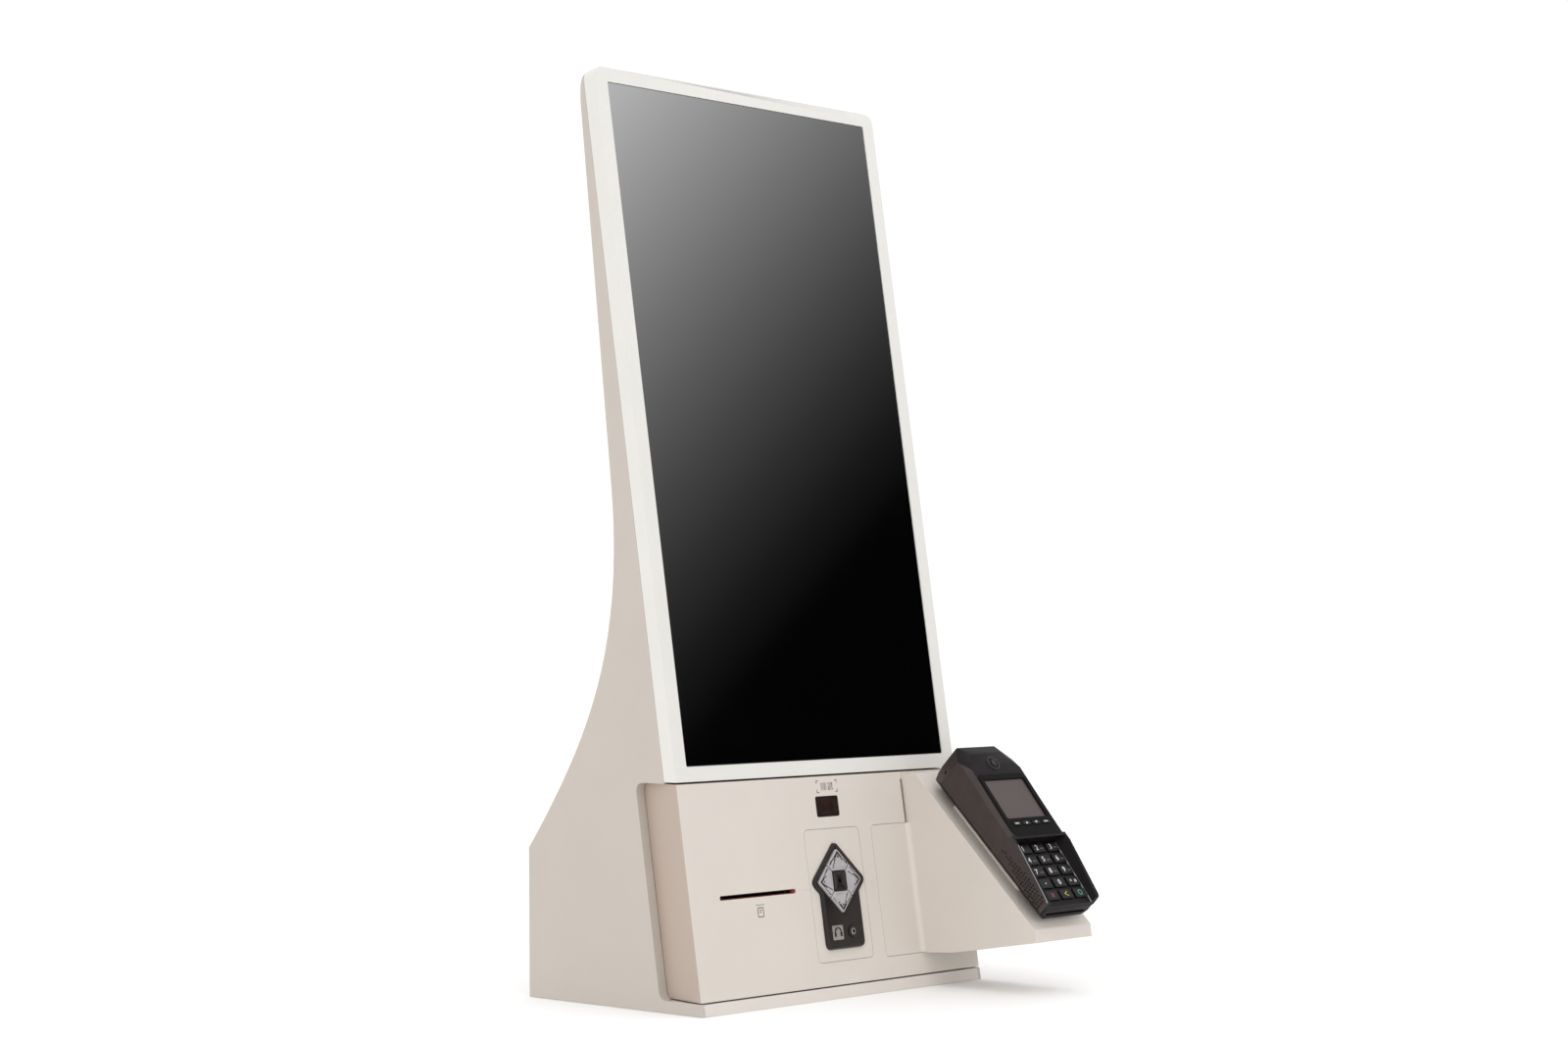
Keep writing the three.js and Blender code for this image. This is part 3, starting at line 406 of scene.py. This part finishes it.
def paint_side_light_and_shade(obj, look, steepness, middle=None):
    """Gives the faces that look to a side, or only those that look away from the middle, a finish that paints
    light or shade on them: shade on the door's recessed side walls, sheen on the terminal's sides.
    """
    obj.data.materials.append(LOOKS[look][0])
    for face in obj.data.polygons:
        outward = middle is None or face.normal.x * (face.center.x - middle) > 0
        if outward and abs(face.normal.x) > steepness:
            face.material_index = 2


def soften(node, look, width=0.4, segments=2):
    """Shows a CAD node itself, with merged flat faces and softened edges."""
    obj = nodes[node]
    weld = obj.modifiers.new("weld", "WELD")
    weld.merge_threshold = SAME_POINT
    if node not in KEEPS_TRIANGLES:
        flat = obj.modifiers.new("flat_faces", "DECIMATE")
        flat.decimate_type = "DISSOLVE"
        flat.angle_limit = math.radians(FLAT)
    dress(obj, look, width, segments)


def refine(node, look, where, picks, width=0.4, painted_shade_look=None):
    """A copy of a CAD node with larger rounds on picked edges; it stands for the node. A given side look
    paints shade on its steep side faces.
    """
    shape = bmesh.new()
    shape.from_mesh(nodes[node].data)
    bmesh.ops.remove_doubles(shape, verts=shape.verts, dist=SAME_POINT)
    bmesh.ops.dissolve_limit(shape, angle_limit=math.radians(FLAT), verts=shape.verts, edges=shape.edges)
    local = (where @ MM).inverted()
    for size, steps, pick in picks:
        chosen = [edge for edge in shape.edges if len(edge.link_faces) == 2 and edge.calc_face_angle() > 0.4
                  and pick(*(local @ ((edge.verts[0].co + edge.verts[1].co) / 2)))]
        bmesh.ops.bevel(shape, geom=chosen, offset=size / 1000, segments=steps, profile=0.5, affect="EDGES",
                        clamp_overlap=True)
    shape.transform((where @ MM).inverted())
    obj = add(node + "_finish", shape, where, nodes[node]["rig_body"], look, width, replaces=node)
    if painted_shade_look:
        paint_side_light_and_shade(obj, painted_shade_look, 0.9)


refine("side_shell_left", "body_paint", ROW, [(1.3, 3, lambda x, y, z: x < -185.5)], 0.5)
refine("side_shell_right", "body_paint", ROW, [(1.3, 3, lambda x, y, z: x > 185.5)], 0.5)
refine("screen_bezel", "bezel_paint", FACE, [
    (1.8, 4, lambda x, s, n: n > -0.2 and (abs(x) > 174 or s > 817)),
    (0.9, 2, lambda x, s, n: n > -0.2)], 0.3)
# the door's side walls, facing across, get a darker, browner finish: painted shade inside the finger recess
refine("door_shell", "door_paint", FACE, [
    (0.8, 3, lambda x, s, n: n > -0.2 and abs(x) > 185),
    (0.9, 3, lambda x, s, n: n > -0.2 and -149 < x < -51 and 95 < s < 99.5)], 0.25, "door_side_painted_shade")
refine("bracket_arm", "door_paint", FACE, [
    (2.6, 4, lambda x, s, n: n > 4 and x > 190),
    (1.5, 4, lambda x, s, n: n > 4 and x < 108.5),
    (1.2, 3, lambda x, s, n: n > 14 and 109 < x < 189)], 0.3)
for name, look, width in [
    ("rear_cover", "body_paint", 0.5), ("cable_panel", "body_paint", 0.4),
    ("connector_panel", "body_paint", 0.4), ("base_plate", "base_paint", 0.6),
    ("foot_strip_front", "rubber", 0.5), ("foot_strip_rear", "rubber", 0.5),
    ("touch_glass", "screen_glass", 0.25), ("lcd_module", "display_housing", 0.6),
    ("display_chassis", "steel", 0.4), ("computer_module", "black_metal", 1.0),
    ("power_supply", "steel", 0.8), ("power_inlet", "black_plastic", 0.5),
    ("audio_speaker", "black_plastic", 0.8), ("printer_body", "black_plastic", 0.7),
    ("hinge_pin_lower", "steel", 0.3), ("hinge_pin_upper", "steel", 0.3), ("door_catch", "steel", 0.8),
    ("scanner_window", "smoked_glass", 0.3), ("scanner_module", "black_plastic", 0.5),
    ("keypad_plate", "door_paint", 0.35), ("adapter_plate", "door_paint", 0.6),
    ("terminal_lower_case", "terminal_plastic", 0.6), ("terminal_upper_case", "terminal_plastic", 0.6),
    ("terminal_display", "display_glass", 0.2), ("power_switch", "black_plastic", 0.6),
    ("printer_lid", "grey_plastic", 0.6), ("platen_roller", "rubber", 0.3), ("paper_roll", "paper", 0.4),
    ("audio_socket", "bare_aluminium", 0.4),
]:
    soften(name, look, width)
# the terminal's outward sides take a lighter finish: painted sheen
for name in ("terminal_lower_case", "terminal_upper_case"):
    paint_side_light_and_shade(nodes[name], "terminal_side_painted_sheen", 0.7, TERMINAL_X / 1000)


# ------------------------------------------------------------------ navigation keypad
def nav_outline():
    x, s = NAV
    corners = [(-25, 43), (25, 43), (25, 91.8), (35.3, s), (0, s + 35.3), (-35.3, s), (-25, 91.8)]
    return rounded([(x + dx, y) for dx, y in corners], [6, 6, 3, 6, 5, 6, 3], 7)


def kite(half):
    x, s = NAV
    return rounded([(x, s - half), (x + half, s), (x, s + half), (x - half, s)], 2.5, 5)


rim = soft_rim(3.0, 1.5, -9)[:-1] + [(1.5, 3.0), (2.0, 2.95), (2.4, 2.7), (2.7, 2.35), (3.0, 2.25)]
add("keypad_housing_body", relief(nav_outline(), rim, [
    (kite(29.9), [(0, 2.25), (0.25, 2.1), (0.3, -2.4)]),
    (circle(*SOCKET, 5.6, 32), [(0, 2.25), (0.1, -8)])]), FACE, "door", "gloss_black",
    replaces="keypad_housing", angle=40)

quarter = rounded([(-8.6, 9.1), (8.6, 9.1), (14, 14.7), (0, 28.8), (-14, 14.7)], [0.6, 0.6, 0.6, 2.2, 0.6], 3)
for turn, name in enumerate(["up", "left", "down", "right"]):
    body = f"nav_key_{name}"
    where = FACE @ move(*NAV, 0) @ tip(90 * turn, "Z")
    levels = [(0, -0.9), (0, 2.7), (0.12, 3.1), (0.4, 3.4), (0.8, 3.55), (2.5, 3.6)]
    add(body + "_cap", relief(quarter, levels), where, body, "nav_key_plastic", replaces=body, angle=35)
    mark = bmesh.new()
    stroke(mark, [(-4.2, 20.6), (0, 25.2), (4.2, 20.6)], 1.3, 3.4, 3.95)
    for side in (-1, 1):
        dome(mark, side * 4.6, 18.9, 0.8, 3.55, 0.55)
    add(body + "_arrow", mark, where, body, "gloss_black", angle=40)
    nub = relief(rounded([(-2.4, 20.4), (2.4, 20.4), (0, 23.4)], 0.5, 3), [(0, 3.4), (0, 3.8), (0.35, 4.0)])
    add(body + "_nub", nub, where, body, "chrome", angle=40)

dish = [(0, -0.9), (0, 3.4), (0.2, 3.75), (0.6, 4.0), (1.0, 3.95), (1.8, 3.6), (3.2, 3.25), (5.2, 3.05),
        (7, 3.0)]
add("nav_key_centre_cap", relief(soft_box(-8.5, 8.5, -8.5, 8.5, 2.4), dish), FACE @ move(*NAV, 0),
    "nav_key_centre", "gloss_black", replaces="nav_key_centre", angle=40)

tile = FACE @ move(-6.7, 57.2, 2.2)
add("pictogram_tile", relief(soft_box(-6.9, 6.9, -6.4, 6.4, 1.2), [(0, -0.4), (0, 0.35), (0.25, 0.6)]), tile,
    "door", "chrome", angle=40)
figure = bmesh.new()
stroke(figure, arc(0, 0.3, 3.9, 10, 170), 1.0, 0.5, 0.95)
for side in (-1, 1):
    relief(soft_box(side * 3.9 - 1.1, side * 3.9 + 1.1, -3.6, 0.6, 0.7, 3), [(0, 0.5), (0, 0.9), (0.2, 1.05)],
           into=figure)
add("pictogram_headset", figure, tile, "door", "gloss_black", angle=40)
ring = relief(circle(*SOCKET, 5.25, 36), [(0, 2.2), (0, 3.1), (0.3, 3.5), (0.9, 3.7), (1.5, 3.6), (2.1, 3.2)],
              [(circle(*SOCKET, 1.9, 36), [(0, 3.2), (0, -8)])])
add("audio_socket_ring", ring, FACE, "door", "gloss_black", replaces="audio_socket", angle=40)
collar = relief(circle(*SOCKET, 2.7, 28), [(0, 3.0), (0, 3.6), (0.3, 3.75)],
                [(circle(*SOCKET, 1.8, 28), [(0, 3.75), (0, 3.0)])], through=True)
add("audio_socket_collar", collar, FACE, "door", "chrome", angle=40)

# ------------------------------------------------------------------ marks on the door
scan_mark = bmesh.new()
for sx in (-1, 1):
    for sy in (-1, 1):
        cx, cy = 4.2 + sx * 13.4, 186.6 + sy * 5.2
        stroke(scan_mark, [(cx - sx * 2.6, cy), (cx, cy), (cx, cy - sy * 2.6)], 0.7, *PRINT)
for i, bar in enumerate([0.9, 0.4, 0.6, 0.4, 1.0, 0.5, 0.8]):
    x = -3.4 + i * 1.05
    block(scan_mark, x, x + bar * 0.62, 183.2, 190, *PRINT)
for column in range(6):
    for row in range(6):
        corner = (column < 2 or column > 3) and (row < 2 or row > 3)
        if (column + 2 * row) % 3 or corner and (column + row) % 2 == 0:
            x, s = column * 1.12, row * 1.14
            block(scan_mark, 5.6 + x, 6.5 + x, 183.2 + s, 184.15 + s, *PRINT)
add("scanner_mark", scan_mark, FACE, "door", "print_mark")
slip_mark = bmesh.new()
stroke(slip_mark, soft_box(-103.6, -96.6, 78.2, 86, 0.8, 3), 0.75, *PRINT, closed=True)
for s, x1 in ((83.5, -98.2), (81.7, -99.2)):
    block(slip_mark, -102, x1, s, s + 0.7, *PRINT)
for x in (-105, -102.3, -99.6, -96.9):
    block(slip_mark, x, x + 1.7, 88, 88.9, *PRINT)
add("receipt_mark", slip_mark, FACE, "door", "print_mark")

dots = bmesh.new()
for cx, cs in ((-19.8, 168.4), (-155.2, 96.9), (50.4, 97.4)):
    for column in range(2):
        for row in range(3):
            dome(dots, cx + (column - 0.5) * 2.5, cs + (row - 1) * 2.5, 0.75, 0, 0.4, 12, 3)
relief(soft_box(-49, -35.5, 97.2, 98, 0.38, 3), [(0, -0.2), (0, 0.15), (0.2, 0.35)], into=dots)
add("tactile_dots", dots, FACE, "door", "door_paint", angle=50)

throat = relief(soft_box(-151, -49.6, 91.8, 102.6, 2), [(0, -5.1), (0, -3.25), (0.2, -3.05)], [
    (soft_box(-147.6, -53, 95.9, 98.5, 1.2), [(0, -3.05), (0.2, -5.1)])], through=True)
add("receipt_throat", throat, FACE, "door", "gloss_black")
guide = relief(soft_box(-147, -53.4, 95.6, 96.2, 0.25, 3), [(0, -3.1), (0, -1.2), (0.1, -1.0)])
relief(soft_box(-57, -53, 95.7, 98.7, 0.5, 3), [(0, -3.1), (0, -1.4), (0.1, -1.2)], into=guide)
add("receipt_light_guide", guide, FACE, "door", "red_lens")
eye = relief(circle(-3.4, 168.6, 4.4, 28), [(0, -11.9), (0, -7), (0.5, -6.4), (1.8, -5.8), (3.2, -5.5)])
add("scanner_lens", eye, FACE, "door", "screen_glass", angle=40)
lamp = relief(circle(7.6, 168.6, 2.4, 20), [(0, -11.9), (0, -7.4), (0.4, -6.6), (1.3, -6.1)])
add("scanner_lamp", lamp, FACE, "door", "red_lens", angle=40)
bezel = relief(soft_box(-12.5, 16.9, 160.2, 177.5, 1.8), [(0, -0.6), (0, -0.42)], [
    (soft_box(-10.6, 15.0, 162.2, 175.6, 1.2), [(0, -0.42), (0, -0.6)])], through=True)
add("scanner_window_border", bezel, FACE, "door", "gloss_black")

fold = bmesh.new()
FOLD_X, FOLD_R, FOLD_STEPS, SKIN = 108, 4.5, 8, 0.06
turns = [math.pi / 2 * k / FOLD_STEPS for k in range(FOLD_STEPS + 1)]
profile = [(FOLD_X - FOLD_R * (1 - math.sin(a)), SKIN + FOLD_R * (1 - math.cos(a))) for a in turns]
profile += [(FOLD_X + 1, SKIN + FOLD_R), (FOLD_X + 1, -0.6), (FOLD_X - FOLD_R, -0.6)]
ends = [[fold.verts.new((x, s, n)) for x, n in profile] for s in (31.2, 148.8)]
for i in range(len(profile)):
    k = (i + 1) % len(profile)
    fold.faces.new((ends[0][i], ends[0][k], ends[1][k], ends[1][i]))
for end in ends:
    fold.faces.new(end)
add("arm_fold", fold, FACE, "door", "door_paint", angle=50)

# ------------------------------------------------------------------ payment terminal
key_outline = soft_box(-8.5, 8.5, -4.8, 4.8, 1.6, 4)
LEGEND = {"cancel": "print_red", "clear": "print_yellow", "enter": "print_green"}
for index, key_name in enumerate(KEY_NAMES):
    row, column = divmod(index, 3)
    body = f"terminal_key_{key_name}"
    where = KEYPAD @ move((column - 1) * KEY_PITCH[0], KEY_FIRST_ROW - row * KEY_PITCH[1], 0)
    levels = [(0, -2.3), (0, 1.0), (0.15, 1.35), (0.45, 1.6), (1.1, 1.7)]
    add(body + "_cap", relief(key_outline, levels), where, body, "terminal_dark", replaces=body, angle=35)
    mark = bmesh.new()
    if key_name.isdigit():
        glyph(mark, key_name, 0 if key_name == "0" else -3, 0, 7.4, *KEY_PRINT)
        if key_name not in "01":
            bars = bmesh.new()
            for i in range(3):
                block(bars, 1.6 + i * 1.6, 2.6 + i * 1.6, -1.3, -0.4, *KEY_PRINT)
            add(body + "_bars", bars, where, body, "print_dim")
    elif key_name == "symbol":
        glyph(mark, "#", 3, 0, 5, *KEY_PRINT)
        glyph(mark, "*", -3.2, -0.6, 6, *KEY_PRINT)
    elif key_name == "blank":
        dome(mark, 0, 0, 0.7, 1.7, 0.4)
    elif key_name == "cancel":
        for sign in (-1, 1):
            stroke(mark, [(-2, -2 * sign), (2, 2 * sign)], 0.7, KEY_PRINT[0], 1.76 + 0.02 * sign)
    elif key_name == "clear":
        stroke(mark, [(1.6, 2.4), (-2.2, 0), (1.6, -2.4)], 0.7, *KEY_PRINT)
    else:
        stroke(mark, circle(0, 0, 2.4, 20), 0.7, *KEY_PRINT, closed=True)
    add(body + "_legend", mark, where, body, LEGEND.get(key_name, "print_white"))

small_key = soft_box(-5.5, 5.5, -2.2, 2.2, 1.6, 4)
function_places = [(i - (FUNCTION_KEYS - 1) / 2) * FUNCTION_PITCH for i in range(FUNCTION_KEYS)]
for i, x in enumerate(function_places):
    body = f"function_key_{i + 1}"
    where = SLOPE @ move(x, -103, 40.2)
    levels = [(0, -2.6), (0, 0.6), (0.15, 0.9), (0.4, 1.1), (0.9, 1.2)]
    add(body + "_cap", relief(small_key, levels), where, body, "terminal_dark", replaces=body, angle=35)
    mark = bmesh.new()
    if i in (0, 3):
        block(mark, -2.6, 2.6, -0.45, 0.45, 1.1, 1.28)
    else:
        way = 1 if i == 1 else -1
        outline = [(-1.5, -1.0 * way), (1.5, -1.0 * way), (0, 1.2 * way)]
        relief(outline if way > 0 else outline[::-1], [(0, 1.1), (0, 1.28)], into=mark)
    add(body + "_legend", mark, where, body, "print_white")

holes = [(soft_box(-28.9, 28.9, -22, 22, 1.9), [(0, 0.75), (0.5, 0.2), (0.5, -0.4)])]
for x in function_places:
    holes.append((soft_box(x - 6, x + 6, -30.65, -25.2, 1.9, 4), [(0, 0.75), (0, -0.4)]))
corners = [(-34, -43.4), (34, -43.4), (34.4, -36), (34.4, 24), (30, 28.2), (-30, 28.2), (-34.4, 24),
           (-34.4, -36)]
levels = [(0.8, -3.4), (0.1, -2.6), (0, -1.6), (0, -0.4), (0.2, 0.25), (0.6, 0.6), (1.1, 0.75)]
plate = relief(rounded(corners, [7, 7] + [2] * 6, 6), levels, holes, through=True)
add("terminal_face_plate", plate, PANEL, "door", "terminal_face", angle=40)
sign = bmesh.new()
SIGN_Y = 39.8
stroke(sign, circle(0, SIGN_Y, 6.6, 40), 0.5, 0.2, 0.75, closed=True)
for i in range(3):
    stroke(sign, arc(-3.2, SIGN_Y, 2.2 + i * 1.7, -42, 42), 0.75, 0.2, 0.75)
add("contactless_mark", sign, PANEL, "door", "print_grey")

# light grey glossy beads along the keypad's ridges: their lighter colour paints the highlight lines the
# ridges catch
bead = relief(soft_box(29.35, 30.25, -66.5, -1.5, 0.4, 3), [(0, -0.4), (0, 0.3), (0.25, 0.6)])
add("keypad_highlight_bead_right", bead, KEYPAD, "door", "grey_plastic")
bead = relief(soft_box(-38.65, -37.85, -60, -1, 0.38, 3), [(0, -0.6), (0, 0.15), (0.2, 0.4)])
add("shield_highlight_bead_left", bead, SLOPE @ move(0, -124.7, 38.9) @ tip(12.06), "door", "grey_plastic")

GRIP_COLUMNS, LOZENGE_HALF = 19, (1.1, 1.5)
for side, name in ((-1, "left"), (1, "right")):
    grip = bmesh.new()
    where = SLOPE @ move(side * TERMINAL_HALF, 0, 0) @ tip(90 * side, "Y")
    for i in range(GRIP_COLUMNS):
        y = -(118 + i * 3.4)
        rows = min(4, 1 + i // 3)
        for row in range(rows):
            m = 20.6 + (row - rows / 2) * 2.9 + (1.45 if i % 2 else 0) + 3.2 * (1 - i / GRIP_COLUMNS)
            x, (dx, dy) = -side * m, LOZENGE_HALF
            lozenge = [(x - dx, y), (x, y - dy), (x + dx, y), (x, y + dy)]
            relief(lozenge, [(0, -0.3), (0.05, 0.12), (0.35, 0.32)], into=grip)
    add(f"grip_{name}", grip, where, "door", "terminal_dark")

# ------------------------------------------------------------------ rear and inside
def screw(shape, x, y, radius=3.0):
    """Adds a domed screw head with a six-sided recess."""
    relief(circle(x, y, radius, 20), [(0, -1.2), (0, 0.5), (0.4, 0.9), (1.0, 1.1)], [
        (circle(x, y, radius * 0.45, 6), [(0, 1.1), (0.1, 0.2)])], into=shape)


def rear_frame(y, z, slope):
    """A frame on the rear surface: x across, y up the surface, z out of it to the rear."""
    return Matrix.Translation((0, y / 1000, z / 1000)) @ tip(180, "Z") @ tip(90 + slope)


# Each row of rear screws: y, z and the surface's slope in degrees.
rear_screws = [(106.1, 16, -0.74), (56.9, 203, 31.1), (21.9, 598, -6.6), (38.9, 745, -6.6)]
for number, (y, z, slope) in enumerate(rear_screws, 1):
    heads = bmesh.new()
    for x in (-158, 158):
        screw(heads, x, 0)
    add(f"rear_screws_{number}", heads, rear_frame(y, z, slope), "cabinet", "steel", angle=40)
grommet = relief(soft_box(60, 100, 24, 44, 3), [(0, -2.5), (0, 0.6), (0.5, 1.0)], [
    (soft_box(62.5, 97.5, 26.5, 41.5, 2), [(0, 1.0), (0.5, -2.5)])], through=True)
add("cable_grommet", grommet, rear_frame(105.95, 0, 0), "cabinet", "rubber", angle=40)
pins = bmesh.new()
for x, z in ((69, 39), (83, 39), (76, 44)):
    blade = soft_box(-x - 1.15, -x + 1.15, z - 2.15, z + 2.15, 0.4, 3)
    relief(blade, [(0, -17), (0, -4.8), (0.5, -4.2)], into=pins)
add("inlet_contacts", pins, rear_frame(106.2, 0, 0), "cabinet", "chrome")
fins = bmesh.new()
RIB_PITCH = 9
for i in range(15):
    block(fins, -8 + i * RIB_PITCH, -4.5 + i * RIB_PITCH, -12, 58, 51.8, 56.5)
add("computer_fins", fins, ROW, "cabinet", "black_metal", 0.2)
louvres = bmesh.new()
for i in range(10):
    block(louvres, -126 + i * RIB_PITCH, -121 + i * RIB_PITCH, 34, 82, 33.9, 34.5)
add("supply_louvres", louvres, ROW, "cabinet", "black_metal")

# ------------------------------------------------------------------ stage, light and camera
def stage_object(name, shape, material):
    """Makes a scenery object from a shape in metres."""
    data = bpy.data.meshes.new(name)
    shape.to_mesh(data)
    data.materials.append(material)
    obj = bpy.data.objects.new(name, data)
    bpy.context.scene.collection.objects.link(obj)
    return obj


def emitter(name, strength):
    """A material that only emits light; returns it and its emission node."""
    material = bpy.data.materials.new(name)
    material.use_nodes = True
    tree = material.node_tree
    tree.nodes.clear()
    light = tree.nodes.new("ShaderNodeEmission")
    light.inputs["Strength"].default_value = strength
    out = tree.nodes.new("ShaderNodeOutputMaterial")
    tree.links.new(light.outputs["Emission"], out.inputs["Surface"])
    return material, light


floor_mesh = bmesh.new()
bmesh.ops.create_grid(floor_mesh, x_segments=1, y_segments=1, size=30)
floor_paint = finish("floor_paint", [0.92, 0.92, 0.92, 1], 0.9, mottle=0.004, mottle_size=0.8)
floor = stage_object("floor", floor_mesh, floor_paint)
floor.location.z = -0.0002

# The screen mirrors this softbox, which dims towards its lower right.
CARD_HALF = (0.44, 0.78, 1)
FALL = Vector((0.685, 0.957, 0))  # the way the softbox brightens, and how fast
STEPS = 8
glow, light = emitter("softbox_glow", 8.2)
tree = glow.node_tree
place = tree.nodes.new("ShaderNodeTexCoord")
turn = tree.nodes.new("ShaderNodeMapping")
turn.vector_type = "POINT"
turn.inputs["Rotation"].default_value[2] = -math.atan2(FALL.y, FALL.x)
turn.inputs["Scale"].default_value = (FALL.length,) * 3
turn.inputs["Location"].default_value[0] = 0.289
blend = tree.nodes.new("ShaderNodeTexGradient")
shades = tree.nodes.new("ShaderNodeValToRGB")
stops = shades.color_ramp.elements
for i in range(STEPS + 1):
    level = tone(*[178 * i / STEPS] * 3)
    stop = stops[0] if i == 0 else stops[-1] if i == STEPS else stops.new(i / STEPS)
    stop.color = level
tree.links.new(place.outputs["Object"], turn.inputs["Vector"])
tree.links.new(turn.outputs["Vector"], blend.inputs["Vector"])
tree.links.new(blend.outputs["Fac"], shades.inputs["Fac"])
tree.links.new(shades.outputs["Color"], light.inputs["Color"])
card_mesh = bmesh.new()
bmesh.ops.create_grid(card_mesh, x_segments=1, y_segments=1, size=1.0)
bmesh.ops.scale(card_mesh, vec=CARD_HALF, verts=card_mesh.verts)
card = stage_object("softbox", card_mesh, glow)
aim = Vector((0.7362, -0.6210, 0.2690))
card.location = (1.914, -1.638, 1.205)
card.rotation_mode = "QUATERNION"
card.rotation_quaternion = (-aim).to_track_quat("Z", "Y")
card.visible_camera = card.visible_diffuse = card.visible_shadow = False

dome_mesh = bmesh.new()
bmesh.ops.create_uvsphere(dome_mesh, u_segments=32, v_segments=16, radius=28)
surround = stage_object("surround", dome_mesh, emitter("surround_white", 1.0)[0])
surround.visible_diffuse = surround.visible_glossy = surround.visible_shadow = False
surround.visible_transmission = False

world = bpy.data.worlds.new("studio")
bpy.context.scene.world = world
world.use_nodes = True
sky = world.node_tree.nodes["Background"]
sky.inputs["Color"].default_value = (1, 1, 1, 1)
sky.inputs["Strength"].default_value = 0.85


def from_direction(azimuth, elevation):
    """The unit vector towards a direction in radians; azimuth 0 is in front of the kiosk."""
    level = math.cos(elevation)
    return Vector((math.sin(azimuth) * level, -math.cos(azimuth) * level, math.sin(elevation)))


def soft_sun(name, azimuth, elevation, strength, spread, colour=(1, 1, 1)):
    """A broad, even light from a direction in degrees."""
    data = bpy.data.lights.new(name, "SUN")
    data.energy = strength
    data.angle = math.radians(spread)
    data.color = colour
    obj = bpy.data.objects.new(name, data)
    bpy.context.scene.collection.objects.link(obj)
    source = from_direction(math.radians(azimuth), math.radians(elevation))
    obj.rotation_mode = "QUATERNION"
    obj.rotation_quaternion = source.to_track_quat("Z", "Y")
    obj.visible_glossy = False


soft_sun("key", -55, 28, 0.6, 70, (1, 0.985, 0.965))
soft_sun("overhead", 0, 88, 0.8, 70)

camera_data = bpy.data.cameras.new("camera")
camera = bpy.data.objects.new("camera", camera_data)
bpy.context.scene.collection.objects.link(camera)
bpy.context.scene.camera = camera
camera_data.lens = 70.54
camera_data.sensor_width = 36
AZIMUTH, ELEVATION = -0.832255, -0.029462
camera.rotation_mode = "QUATERNION"
camera.rotation_quaternion = (-from_direction(AZIMUTH, ELEVATION)).to_track_quat("-Z", "Y")
camera.location = (-2.048, -1.893, 0.340)
bpy.context.scene.view_settings.view_transform = "Standard"
bpy.context.scene.view_settings.exposure = 0.12
